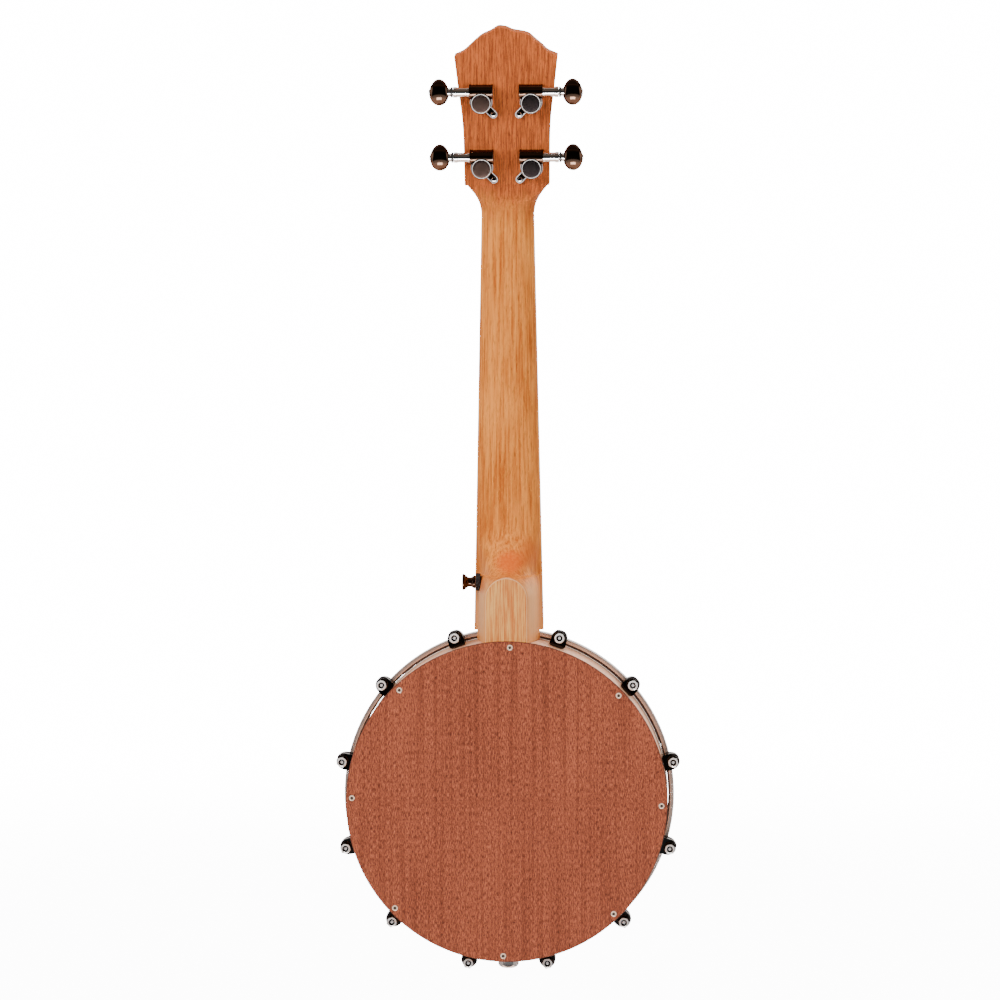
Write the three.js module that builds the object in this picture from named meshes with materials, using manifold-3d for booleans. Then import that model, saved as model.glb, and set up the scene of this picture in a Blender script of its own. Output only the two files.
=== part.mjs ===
// A banjo ukulele in millimetres. Z runs up the neck, X to the right as seen from behind,
// and Y from the wooden back plate through the pot to the drum head on the front.
// The origin is the centre of the back plate's outer face.
import * as THREE from 'three';
import { mergeVertices } from 'three/addons/utils/BufferGeometryUtils.js';
import Module from 'manifold-3d';

const wasm = await Module();
wasm.setup();

// Clearances and the fineness of round shapes
const seatGap = 0.3;
const runningGap = 0.3;
const overrun = 2;
const potSides = 60;
const roundSides = 14;
const smallSides = 10;
const wireSides = 6;
const hexSides = 6;
const mergeDistance = 1e-4;

// Pot: back plate, wooden rim, tone ring and drum head
const plateOverhang = 0.6;
const plateThickness = 3;
const plateEdge = 0.6;
const rimRadius = 101.6;
const rimWall = 10;
const rimDepth = 48;
const toneRingWidth = 6;
const toneRingHeight = 5;
const headSkin = 0.5;
const headCollarGap = 0.3;
const headCollarDepth = 9.5;
const fleshHoopHeight = 3.5;

// Tension hoop and its hooks
const hoopStandOff = 4.8;
const hoopAboveHead = 1;
const hoopWall = 2.6;
const hoopDepth = 11.5;
const hoopShelfDepth = 7.2;
const hoopTravel = 1.4;
const hookCount = 12;
const firstHookAngle = 18;
const hookPitchAngle = 29.7;
const hookOut = 2;
const hookWireRadius = 1.75;
const hookBendRadius = 2.2;
const hookTipDepth = 2;
const bendSteps = 4;
const crownSteps = 2;

// Bracket shoes and hook nuts
const shoeWidth = 9.4;
const shoeReach = 10.6;
const shoeShoulder = 7.4;
const shoeCrestWidth = 4.6;
const shoeHeight = 13.7;
const shoeBack = 21.3;
const shoeBoltRadius = 2;
const shoeBoltHeadRadius = 4.2;
const shoeBoltHeadHeight = 2.4;
const nutLength = 8;
const nutCornerRadius = 3.5;
const nutFlangeRadius = 3.9;
const nutFlangeHeight = 1;
const hookSetback = 1.6;

// Neck and heel
const neckFront = 58;
const neckPotHalf = 22.25;
const neckNutHalf = 16.9;
const neckEndGap = 1.5;
const lastFretGap = 4;
const nutWidth = 3.2;
const nutHeight = 6.9;
const neckSideHeight = 6;
const neckBackAtHeel = 39.5;
const neckBackAtNut = 42.5;
const heelBack = 4;
const heelCapHalf = 13;
const heelCapRise = 40.1;
const heelSweepLength = 32.8;
const keelFlat = 1;
const heelShoulderShare = 0.8;
const heelBulgeShare = 0.65;
const heelFlareShare = 12;
const hoopNotchGap = 0.6;

// Headstock, tilted backwards from the nut
const headTilt = 10 * Math.PI / 180;
const headThickness = 12;
const headHalf = 33;
const headShoulder = 103.2;
const crestHeight = 18.1;
const flareEnd = 20.1;
const veneerThickness = 1.5;
const veneerStart = 1;
const headBlendShare = 0.7;
const blendInset = 0.15;

// Fretboard, strings and bridge
const fretboardThickness = 5;
const fretCount = 18;
const fretWidth = 2;
const fretHeight = 0.9;
const scaleLength = 400;
const stringCount = 4;
const stringRadius = 0.35;
const stringRest = 0.1;
const nutStringPitch = 8.7;
const bridgeStringPitch = 12;
const bridgeHalf = 28;
const bridgeHeight = 8.5;
const bridgeThickness = 4.5;
const bridgeFootHalf = 4.5;
const bridgeArchHeight = 5;
const archSteps = 8;
const bridgeCapHalf = 25;
const bridgeCapHeight = 1.6;
const bridgeCapThickness = 2.6;

// Coordinator rod and tailpiece
const rodRadius = 3;
const rodAxis = 27;
const rodInHeel = 20;
const rodNutLength = 6.5;
const rodNutCorner = 6.6;
const rodNutWall = 1.6;
const tailWidth = 20;
const tailThickness = 1.5;
const tailFoot = 17;
const tailJoggleStart = 37;
const tailJoggleEnd = 43.5;
const tailOverPot = 17.6;
const tailRise = 1.2;
const tailBend = 2;
const tailClearance = 0.5;
const anchorBarHeight = 3;
const anchorBarWidth = 3;
const anchorHoleRadius = 0.8;
const tailStringPitch = 4.8;

// Tuners, four alike
const tunerSpacingHalf = 15.9;
const tunerHeights = [31.9, 73.7];
const gearCaseRadius = 6.7;
const gearCaseHeight = 8.4;
const gearRadius = 4.7;
const gearThickness = 3.5;
const wormOffset = 7;
const wormRadius = 2;
const wormCaseHalf = 7.6;
const wormCaseRadius = 3.8;
const wormCaseTop = 4.6;
const wormCaseWall = 1.2;
const shaftTubeRadius = 3.4;
const shaftTubeEnd = 17.6;
const shaftBoreRadius = wormRadius + runningGap;
const lugRadius = 2.4;
const lugReach = 10.9;
const lugAngle = 45 * Math.PI / 180;
const lugThickness = 1.4;
const sleeveRadius = 4.7;
const bushingNutRadius = 5.9;
const bushingNutHeight = 2.2;
const postRadius = 3;
const postHeight = 18;
const postWaistRadius = 2.3;
const postWaistShare = 0.6;
const windingRadius = 3.4;
const windingFrom = 6.6;
const windingTo = 10.2;
const knobLength = 12.8;
const knobWidth = 17;
const knobThickness = 9.4;
const knobNeck = 2.3;
const knobCollarRadius = 2.9;
const knobRows = 6;

// Strap button on the left of the heel
const buttonBelowCap = 4.3;
const buttonDepth = 38;
const buttonSeatCut = 0.4;
const buttonSeatRadius = 6;
const feltRadius = 5.6;
const feltThickness = 3;
const buttonLength = 8.4;
const buttonHeadRadius = 5.3;
const buttonWaistRadius = 3;
const buttonBaseRadius = 4.2;
const buttonHeightShares = [0, 0, 0.15, 0.3, 0.55, 0.9, 1, 1];

// Places that follow from the sizes above
const plateRadius = rimRadius + plateOverhang;
const rimInner = rimRadius - rimWall;
const rimFront = plateThickness + rimDepth;
const headBack = rimFront + toneRingHeight;
const headFront = headBack + headSkin;
const collarInner = rimRadius + headCollarGap;
const collarOuter = collarInner + headSkin;
const collarBack = headBack - headCollarDepth;
const fleshInner = collarOuter + headCollarGap;
const hoopRadius = rimRadius + hoopStandOff;
const hoopFront = headFront + hoopAboveHead;
const hoopBack = hoopFront - hoopDepth;
const hookCircle = hoopRadius + hookOut;
const fleshOuter = hoopRadius - hoopWall - seatGap;
const shoeFront = shoeBack + shoeHeight;
const neckPotEnd = hoopRadius + neckEndGap;
const heelCapTop = rimRadius + heelCapRise;
const heelSweepEnd = heelCapTop + heelSweepLength;
const buttonHeight = heelCapTop - buttonBelowCap;
const fretDistance = (i) => scaleLength * (1 - 2 ** (-i / 12));
const nutFront = neckPotEnd + lastFretGap + fretDistance(fretCount);
const nutBack = nutFront + nutWidth;
const nutTop = neckFront + nutHeight;
const fretboardTop = neckFront + fretboardThickness;
const hookNutFront = shoeBack - seatGap;
const hookNutBack = hookNutFront - nutLength;
const hookEnd = hookNutBack + hookSetback;
const bridgePlace = nutFront - scaleLength;
const tailReach = rimRadius - tailOverPot;
const bridgeTop = headFront + bridgeHeight + bridgeCapHeight;
const gearCaseBack = -headThickness - seatGap - gearCaseHeight;
const wormLevel = -headThickness - seatGap - gearCaseHeight / 2;

// A closed geometry as a solid: equal corners are merged, and triangles that close up
// at a pole are dropped. A surface that was drawn inside out is turned the right way.
function solid(geometry) {
  const bare = new THREE.BufferGeometry();
  bare.setAttribute('position', geometry.getAttribute('position').clone());
  bare.setIndex(geometry.getIndex());
  const merged = mergeVertices(bare, mergeDistance);
  const place = merged.getAttribute('position');
  const corners = Array.from(merged.getIndex().array);
  const triangles = [];
  let volume = 0;
  const a = new THREE.Vector3();
  const b = new THREE.Vector3();
  const c = new THREE.Vector3();
  for (let i = 0; i < corners.length; i += 3) {
    const [p, q, r] = corners.slice(i, i + 3);
    if (p === q || q === r || r === p) continue;
    triangles.push([p, q, r]);
    a.fromBufferAttribute(place, p);
    b.fromBufferAttribute(place, q);
    c.fromBufferAttribute(place, r);
    volume += a.dot(b.cross(c));
  }
  const outward = volume > 0 ? triangles : triangles.map(([p, q, r]) => [p, r, q]);
  return new wasm.Manifold(new wasm.Mesh({
    numProp: 3,
    vertProperties: Float32Array.from(place.array),
    triVerts: Uint32Array.from(outward.flat()),
  }));
}

// A solid as a geometry again, ready for a mesh
function surface(shape) {
  const mesh = shape.getMesh();
  const geometry = new THREE.BufferGeometry();
  geometry.setAttribute('position', new THREE.BufferAttribute(mesh.vertProperties, mesh.numProp));
  geometry.setIndex(new THREE.BufferAttribute(mesh.triVerts, 1));
  geometry.computeVertexNormals();
  return geometry;
}

function joined(first, ...others) {
  return others.reduce((whole, piece) => whole.add(piece), first);
}

function cut(body, ...tools) {
  return tools.reduce((rest, tool) => rest.subtract(tool), body);
}

// A round profile of [radius, height] points, turned about the Y axis
function turned(profile, sides) {
  const points = profile.map(([radius, height]) => new THREE.Vector2(radius, height));
  return new THREE.LatheGeometry(points, sides);
}

function ring(inner, outer, back, front, sides) {
  return turned([[inner, back], [outer, back], [outer, front], [inner, front], [inner, back]], sides);
}

// A bar along Y, X or Z between two places on that axis
function barAlongY(radius, from, to, sides) {
  return new THREE.CylinderGeometry(radius, radius, to - from, sides).translate(0, (from + to) / 2, 0);
}

function barAlongX(radius, from, to, sides) {
  return barAlongY(radius, from, to, sides).rotateZ(-Math.PI / 2);
}

function barAlongZ(radius, from, to, sides) {
  return barAlongY(radius, from, to, sides).rotateX(Math.PI / 2);
}

// A block between two corners
function block([x0, y0, z0], [x1, y1, z1]) {
  const box = new THREE.BoxGeometry(x1 - x0, y1 - y0, z1 - z0);
  return box.translate((x0 + x1) / 2, (y0 + y1) / 2, (z0 + z1) / 2);
}

// An outline in X and Z, filled from one depth in Y to another
function slab(outline, back, front) {
  const shape = new THREE.Shape(outline.map(([x, z]) => new THREE.Vector2(x, z)));
  const filled = new THREE.ExtrudeGeometry(shape, { depth: front - back, bevelEnabled: false });
  return filled.rotateX(Math.PI / 2).translate(0, front, 0);
}

// A skin over a row of closed rings with equal counts, with a fan over each end
function loft(rings) {
  const count = rings[0].length;
  const places = rings.flat();
  const index = [];
  for (let r = 0; r + 1 < rings.length; r += 1) {
    for (let i = 0; i < count; i += 1) {
      const here = r * count + i;
      const beside = r * count + (i + 1) % count;
      index.push(here, beside, beside + count, here, beside + count, here + count);
    }
  }
  [0, rings.length - 1].forEach((r) => {
    const middle = new THREE.Vector3();
    rings[r].forEach((point) => middle.add(point));
    places.push(middle.divideScalar(count));
    for (let i = 0; i < count; i += 1) {
      const pair = [r * count + i, r * count + (i + 1) % count];
      if (r === 0) pair.reverse();
      index.push(...pair, places.length - 1);
    }
  });
  const geometry = new THREE.BufferGeometry().setFromPoints(places);
  geometry.setIndex(index);
  return geometry;
}

// Rings of points around a path; across is a direction square to the path, as near as can be
function sweep(path, across, ringPoints) {
  return loft(path.map((point, i) => {
    const before = path[Math.max(i - 1, 0)];
    const after = path[Math.min(i + 1, path.length - 1)];
    const along = after.clone().sub(before).normalize();
    const side = across.clone().addScaledVector(along, -across.dot(along)).normalize();
    const up = along.clone().cross(side);
    return ringPoints.map(([s, u]) => point.clone().addScaledVector(side, s).addScaledVector(up, u));
  }));
}

function circlePoints(radius, sides) {
  return Array.from({ length: sides }, (_, i) => {
    const angle = (i + 0.5) / sides * 2 * Math.PI;
    return [radius * Math.cos(angle), radius * Math.sin(angle)];
  });
}

function mix(from, to, share) {
  return from + (to - from) * share;
}

function smooth(from, to, value) {
  return THREE.MathUtils.smoothstep(value, from, to);
}

// Looks: the colours are those of the real finishes
function finish(color, roughness, metalness) {
  return new THREE.MeshStandardMaterial({ color, roughness, metalness });
}
const plateWood = finish('#a5553c', 0.45, 0);
const rimWood = finish('#e0b8a0', 0.4, 0);
const neckWood = finish('#d2824f', 0.4, 0);
const darkWood = finish('#2e201a', 0.45, 0);
const chrome = finish('#c9cacc', 0.12, 1);
const brass = finish('#b8974f', 0.3, 1);
const skin = finish('#efece2', 0.6, 0);
const bone = finish('#ece4d0', 0.5, 0);
const nylon = finish('#20201f', 0.35, 0);
const felt = finish('#161413', 0.95, 0);

const instrument = new THREE.Group();

function add(name, shape, material, parent = instrument) {
  const mesh = new THREE.Mesh(surface(shape), material);
  mesh.name = name;
  parent.add(mesh);
  return mesh;
}

function number(i) {
  return String(i + 1).padStart(2, '0');
}

// Hooks stand in mirrored pairs, the first pair one on each side of the neck
function hookAngles() {
  const pairs = hookCount / 2;
  const oneSide = Array.from({ length: pairs }, (_, i) => firstHookAngle + i * hookPitchAngle);
  const all = [...oneSide, ...oneSide.slice().reverse().map((angle) => -angle)];
  return all.map(THREE.MathUtils.degToRad);
}

// Back plate: a flat disc with a small bevel all round its outer edge
function backPlate() {
  const profile = [
    [0, 0],
    [plateRadius - plateEdge, 0],
    [plateRadius, plateEdge],
    [plateRadius, plateThickness],
    [0, plateThickness],
  ];
  return solid(turned(profile, potSides));
}

// Rim: a wooden ring with a hole for each shoe's bolt and for the coordinator rod at both ends
function rim() {
  const hoop = solid(ring(rimInner, rimRadius, plateThickness, rimFront, potSides));
  const boltHeight = shoeBack + shoeHeight / 2;
  const boltHoles = hookAngles().map((angle) => {
    const bar = barAlongZ(shoeBoltRadius + seatGap, rimInner - overrun, rimRadius + overrun, wireSides);
    return solid(bar.translate(0, boltHeight, 0).rotateY(angle));
  });
  const rodReach = rimRadius + overrun;
  const rodHole = barAlongZ(rodRadius + seatGap, -rodReach, rodReach, roundSides);
  return cut(hoop, ...boltHoles, solid(rodHole.translate(0, rodAxis, 0)));
}

// Tone ring: a solid ring on the rim whose outer front edge is rounded for the skin
function toneRing() {
  const inner = rimRadius - toneRingWidth;
  const round = toneRingWidth / 2;
  const profile = [[inner, rimFront], [rimRadius, rimFront]];
  for (let i = 0; i <= 2 * crownSteps; i += 1) {
    const turn = Math.PI / 2 * i / crownSteps;
    profile.push([rimRadius - round + round * Math.cos(turn), headBack - round + round * Math.sin(turn)]);
  }
  profile.push([inner, rimFront]);
  return solid(turned(profile, potSides));
}

// Drum head: a thin skin over the tone ring with a collar that goes down outside it
function drumHead() {
  const round = toneRingWidth / 2;
  const arc = (radius) => Array.from({ length: crownSteps + 1 }, (_, i) => {
    const turn = Math.PI / 2 * i / crownSteps;
    const centre = collarInner - round;
    return [centre + radius * Math.cos(turn), headBack - round + radius * Math.sin(turn)];
  });
  const profile = [
    [0, headFront],
    ...arc(round + headSkin).reverse(),
    [collarOuter, collarBack],
    [collarInner, collarBack],
    ...arc(round),
    [0, headBack],
  ];
  return solid(turned(profile, potSides));
}

// Flesh hoop: the square ring that the skin is lapped over, under the tension hoop's shelf
function fleshHoop() {
  return solid(ring(fleshInner, fleshOuter, collarBack, collarBack + fleshHoopHeight, potSides));
}

// A hook: a straight shank, bent over the tension hoop's front edge into its top
function hook(angle) {
  const bendCentre = hookCircle - hookBendRadius;
  const path = [new THREE.Vector3(0, hookEnd, hookCircle)];
  for (let i = 0; i <= bendSteps; i += 1) {
    const turn = Math.PI * i / bendSteps;
    const height = hoopFront + hookBendRadius * Math.sin(turn);
    path.push(new THREE.Vector3(0, height, bendCentre + hookBendRadius * Math.cos(turn)));
  }
  path.push(new THREE.Vector3(0, hoopFront - hookTipDepth, bendCentre - hookBendRadius));
  const across = new THREE.Vector3(1, 0, 0);
  return solid(sweep(path, across, circlePoints(hookWireRadius, wireSides)).rotateY(angle));
}

// Tension hoop: an angle ring whose shelf presses on the flesh hoop, with its hooks
function tensionHoop() {
  const shelfInner = fleshInner + seatGap;
  const wallInner = hoopRadius - hoopWall;
  const shelfBack = hoopFront - hoopShelfDepth;
  const band = turned([
    [shelfInner, shelfBack],
    [wallInner, shelfBack],
    [wallInner, hoopBack],
    [hoopRadius, hoopBack],
    [hoopRadius, hoopFront],
    [shelfInner, hoopFront],
    [shelfInner, shelfBack],
  ], potSides);
  return joined(solid(band), ...hookAngles().map(hook));
}

// Bracket shoe: a cast block with a sloped nose, bolted through the rim
function bracketShoe() {
  const seat = rimRadius + seatGap;
  const half = shoeWidth / 2;
  const crest = shoeCrestWidth / 2;
  const outline = [
    [-half, seat],
    [half, seat],
    [half, seat + shoeShoulder],
    [crest, seat + shoeReach],
    [-crest, seat + shoeReach],
    [-half, seat + shoeShoulder],
  ];
  const boltHeight = shoeBack + shoeHeight / 2;
  const headSeat = rimInner - seatGap;
  const bolt = barAlongZ(shoeBoltRadius, headSeat - shoeBoltHeadHeight, seat + seatGap, wireSides);
  const head = barAlongZ(shoeBoltHeadRadius, headSeat - shoeBoltHeadHeight, headSeat, smallSides);
  const bore = barAlongY(hookWireRadius + runningGap, shoeBack - overrun, shoeFront + overrun, smallSides);
  const body = joined(
    solid(slab(outline, shoeBack, shoeFront)),
    solid(bolt.translate(0, boltHeight, 0)),
    solid(head.translate(0, boltHeight, 0)),
  );
  return cut(body, solid(bore.translate(0, 0, hookCircle)));
}

// Hook nut: a long hexagon with a round flange, bored through for the hook
function hookNut() {
  const hexagon = barAlongY(nutCornerRadius, hookNutBack, hookNutFront, hexSides);
  const flange = barAlongY(nutFlangeRadius, hookNutFront - nutFlangeHeight, hookNutFront, roundSides);
  const boreRadius = hookWireRadius + runningGap;
  const bore = barAlongY(boreRadius, hookNutBack - overrun, hookNutFront + overrun, smallSides);
  return cut(joined(solid(hexagon), solid(flange)), solid(bore));
}

// Half the neck's width at a height
function neckHalf(z) {
  return mix(neckPotHalf, neckNutHalf, (z - neckPotEnd) / (nutFront - neckPotEnd));
}

// The headstock's half width: the flare and the sides as shares of its greatest half width,
// the flare placed by shares of the flare's end and the sides between there and the shoulder
const flareShares = [[0, 0.515], [0.13, 0.523], [0.35, 0.553], [0.57, 0.618], [0.78, 0.709], [1, 0.824]];
const sideShares = [[0.33, 0.832], [0.5, 0.852], [0.64, 0.89], [0.76, 0.93], [0.9, 0.97], [1, 1]];

function headstockSide() {
  const flare = flareShares.map(([v, half]) => [v * flareEnd, half * headHalf]);
  const side = sideShares.map(([v, half]) => [mix(flareEnd, headShoulder, v), half * headHalf]);
  return [...flare, ...side];
}

function flareHalf(v) {
  const flare = headstockSide().slice(0, flareShares.length);
  const next = flare.findIndex(([place]) => place >= v);
  if (next < 0) return flare[flare.length - 1][1];
  if (next === 0) return flare[0][1];
  const [v0, half0] = flare[next - 1];
  const [v1, half1] = flare[next];
  return mix(half0, half1, (v - v0) / (v1 - v0));
}

// The crest between the shoulders, as shares of the half width and of the crest's height
const crestShares = [
  [0.81, 0.156], [0.7, 0.34], [0.56, 0.557], [0.413, 0.766], [0.138, 0.87], [0.05, 0.94],
  [-0.03, 0.985], [-0.157, 1], [-0.284, 0.86], [-0.452, 0.72], [-0.579, 0.547], [-0.677, 0.38],
  [-0.831, 0.14],
];

function headstockOutline(start) {
  const right = headstockSide().filter(([v]) => v > start);
  right.unshift([start, flareHalf(start)]);
  const crest = crestShares.map(([x, v]) => [x * headHalf, headShoulder + v * crestHeight]);
  const left = right.slice().reverse().map(([v, half]) => [-half, v]);
  return [...right.map(([v, half]) => [half, v]), ...crest, ...left];
}

// The neck's section at a height: its front level, the level where the side ends, the back
// level, the half widths at the front and of the flat back, and how round it is between them
function neckSection(z) {
  const pastNut = z - nutBack;
  const backSpan = (z - heelSweepEnd) / (nutFront - heelSweepEnd);
  const neckBack = mix(neckBackAtHeel, neckBackAtNut, Math.max(backSpan, 0));
  if (pastNut > 0) {
    const planeFront = neckFront - pastNut * Math.tan(headTilt);
    const planeBack = planeFront - headThickness / Math.cos(headTilt);
    const half = flareHalf(pastNut / Math.cos(headTilt)) - blendInset;
    const flatShare = smooth(0, headBlendShare * flareEnd, pastNut);
    return {
      front: planeFront - blendInset,
      side: mix(neckFront - neckSideHeight, planeFront - neckSideHeight, flatShare),
      back: mix(neckBackAtNut, planeBack + blendInset, flatShare),
      half,
      flat: mix(keelFlat, half, flatShare),
      round: 1,
    };
  }
  const sweep = THREE.MathUtils.clamp((z - heelCapTop) / (heelSweepEnd - heelCapTop), 0, 1);
  const rise = Math.sqrt(1 - (1 - sweep) ** 2);
  const archStart = heelCapTop - heelCapHalf;
  const arch = THREE.MathUtils.clamp((z - archStart) / heelCapHalf, 0, 1);
  return {
    front: neckFront,
    side: neckFront - neckSideHeight,
    back: mix(heelBack, neckBack, rise),
    half: neckHalf(z),
    flat: Math.max(heelCapHalf * Math.sqrt(1 - arch ** 2), keelFlat),
    round: smooth(archStart, heelSweepEnd, z),
  };
}

// How far the side stands out between the flat back at 0 and the full width at 1
function sideShape(level, round) {
  const shoulder = heelShoulderShare * level ** heelBulgeShare;
  const heelSide = shoulder + (1 - heelShoulderShare) * level ** heelFlareShare;
  const neckSide = Math.sqrt(1 - (1 - level) ** 2);
  return mix(heelSide, neckSide, round);
}

function neckSide(z, y) {
  const section = neckSection(z);
  const level = (y - section.back) / (section.side - section.back);
  return mix(section.flat, section.half, sideShape(level, section.round));
}

// A ring's points crowd towards its back, where it turns most
const ringSteps = 10;
const ringCrowdingShare = 1.5;

function neckRing(z) {
  const section = neckSection(z);
  const right = [[section.half, section.front]];
  for (let i = 0; i <= ringSteps; i += 1) {
    const level = (1 - i / ringSteps) ** ringCrowdingShare;
    const x = mix(section.flat, section.half, sideShape(level, section.round));
    right.push([x, mix(section.back, section.side, level)]);
  }
  const left = right.slice().reverse().map(([x, y]) => [-x, y]);
  return [...right, ...left].map(([x, y]) => new THREE.Vector3(x, y, z));
}

const arcSteps = 6;
const plainNeckShares = [0.33, 0.66];
const insideHeadShare = 1.25;

// Heights of the neck's rings: close together on the arch of the heel's cap, on its sweep
// up to the neck and on the flare, and far apart between them
function neckHeights() {
  const quarter = Array.from({ length: arcSteps }, (_, i) => Math.PI / 2 * (i + 1) / arcSteps);
  const archStart = heelCapTop - heelCapHalf;
  const arch = quarter.map((turn) => archStart + heelCapHalf * Math.sin(turn));
  const sweep = quarter.map((turn) => mix(heelCapTop, heelSweepEnd, 1 - Math.cos(turn)));
  const neckSteps = plainNeckShares.map((share) => mix(heelSweepEnd, nutFront, share));
  const flareSteps = [...flareShares.slice(1).map(([share]) => share), insideHeadShare];
  const flare = flareSteps.map((share) => nutBack + share * flareEnd);
  const start = rimRadius - overrun;
  const heel = [start, (start + archStart) / 2, archStart, ...arch];
  return [...heel, ...sweep, ...neckSteps, nutFront, nutBack, ...flare];
}

// A piece of the headstock is made lying in its own plane, and leant back with it afterwards
function leant(geometry) {
  return geometry.rotateX(headTilt).translate(0, neckFront, nutBack);
}

function tunerPlaces() {
  return tunerHeights.flatMap((height) => [[-tunerSpacingHalf, height], [tunerSpacingHalf, height]]);
}

function sleeveHoles(back, front) {
  return tunerPlaces().map(([x, height]) => {
    const bar = barAlongY(sleeveRadius + seatGap, back, front, roundSides);
    return bar.translate(x, 0, height);
  });
}

// Neck: heel, neck and headstock from one piece of wood. The heel's end is hollowed to the
// rim and notched for the tension hoop, and it is bored for the coordinator rod.
const seatPlace = neckSide(buttonHeight, buttonDepth) - buttonSeatCut;

function neck() {
  const stem = solid(loft(neckHeights().map(neckRing)));
  const head = solid(leant(slab(headstockOutline(flareEnd), -headThickness, 0)));
  const potCut = solid(barAlongY(rimRadius + seatGap, -overrun, neckFront + overrun, potSides));
  const notch = barAlongY(neckPotEnd, hoopBack - hoopNotchGap, neckFront + overrun, potSides);
  const rodEnd = rimRadius + rodInHeel + seatGap;
  const rodHole = barAlongZ(rodRadius + seatGap, rimInner, rodEnd, roundSides).translate(0, rodAxis, 0);
  const seatTool = barAlongX(buttonSeatRadius, -neckPotHalf - overrun, -seatPlace, roundSides);
  return cut(
    joined(stem, head),
    potCut,
    solid(notch),
    solid(rodHole),
    solid(seatTool.translate(0, buttonDepth, buttonHeight)),
    ...sleeveHoles(-headThickness - overrun, overrun).map((hole) => solid(leant(hole))),
  );
}

function headstockVeneer() {
  const front = seatGap + veneerThickness;
  const sheet = solid(leant(slab(headstockOutline(veneerStart), seatGap, front)));
  return cut(sheet, ...sleeveHoles(-overrun, front + overrun).map((hole) => solid(leant(hole))));
}

// Fretboard with its frets, which get closer together towards the pot
function fretboard() {
  const outline = [
    [neckHalf(neckPotEnd), neckPotEnd],
    [neckHalf(nutFront), nutFront],
    [-neckHalf(nutFront), nutFront],
    [-neckHalf(neckPotEnd), neckPotEnd],
  ];
  const frets = Array.from({ length: fretCount }, (_, i) => {
    const z = nutFront - fretDistance(i + 1);
    const half = neckHalf(z) - fretHeight / 2;
    const low = [-half, fretboardTop - fretHeight, z - fretWidth / 2];
    return solid(block(low, [half, fretboardTop + fretHeight, z + fretWidth / 2]));
  });
  return joined(solid(slab(outline, neckFront, fretboardTop)), ...frets);
}

function stringNut() {
  return solid(block([-neckNutHalf, neckFront, nutFront], [neckNutHalf, nutTop, nutBack]));
}

// Bridge: a thin board on three feet, with a hard cap that the strings rest on
function bridge() {
  const top = headFront + bridgeHeight;
  const shape = new THREE.Shape();
  const archSpan = bridgeHalf - 3 * bridgeFootHalf;
  const archCentre = bridgeFootHalf + archSpan / 2;
  shape.moveTo(-bridgeHalf, headFront);
  shape.lineTo(-bridgeHalf + 2 * bridgeFootHalf, headFront);
  shape.absellipse(-archCentre, headFront, archSpan / 2, bridgeArchHeight, Math.PI, 0, true);
  shape.lineTo(bridgeFootHalf, headFront);
  shape.absellipse(archCentre, headFront, archSpan / 2, bridgeArchHeight, Math.PI, 0, true);
  shape.lineTo(bridgeHalf, headFront);
  shape.lineTo(bridgeCapHalf, top);
  shape.lineTo(-bridgeCapHalf, top);
  shape.closePath();
  const board = new THREE.ExtrudeGeometry(shape, {
    depth: bridgeThickness,
    bevelEnabled: false,
    curveSegments: archSteps,
  });
  return solid(board.translate(0, 0, bridgePlace - bridgeThickness / 2));
}

function bridgeCap() {
  const back = headFront + bridgeHeight;
  const half = bridgeCapThickness / 2;
  const low = [-bridgeCapHalf, back, bridgePlace - half];
  return solid(block(low, [bridgeCapHalf, bridgeTop, bridgePlace + half]));
}

// Coordinator rod through the pot from the heel to the tail, and its cap nut
const tailStrapMiddle = rimRadius + seatGap + tailThickness / 2;
const rodNutSeat = tailStrapMiddle + tailThickness / 2 + seatGap;
const rodEndBelow = rodNutSeat + rodNutLength - rodNutWall - runningGap;

function coordinatorRod() {
  const bar = barAlongZ(rodRadius, -rodEndBelow, rimRadius + rodInHeel, roundSides);
  return solid(bar.translate(0, rodAxis, 0));
}

function rodNut() {
  const outside = barAlongZ(rodNutCorner, -rodNutSeat - rodNutLength, -rodNutSeat, hexSides);
  const boreEnd = -rodNutSeat - rodNutLength + rodNutWall;
  const bore = barAlongZ(rodRadius + seatGap, boreEnd, -rodNutSeat + overrun, roundSides);
  return cut(solid(outside.translate(0, rodAxis, 0)), solid(bore.translate(0, rodAxis, 0)));
}

// Tailpiece: a bent strap from the coordinator rod, out past the tension hoop and over its
// front edge, clear of its travel, to a bar that holds the strings' ends
const strapOver = hoopFront + hoopTravel + tailClearance + tailThickness / 2;
const strapOut = hoopRadius + hoopNotchGap + tailThickness / 2;
const anchorLevel = strapOver + tailRise + anchorBarHeight / 2;

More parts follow.
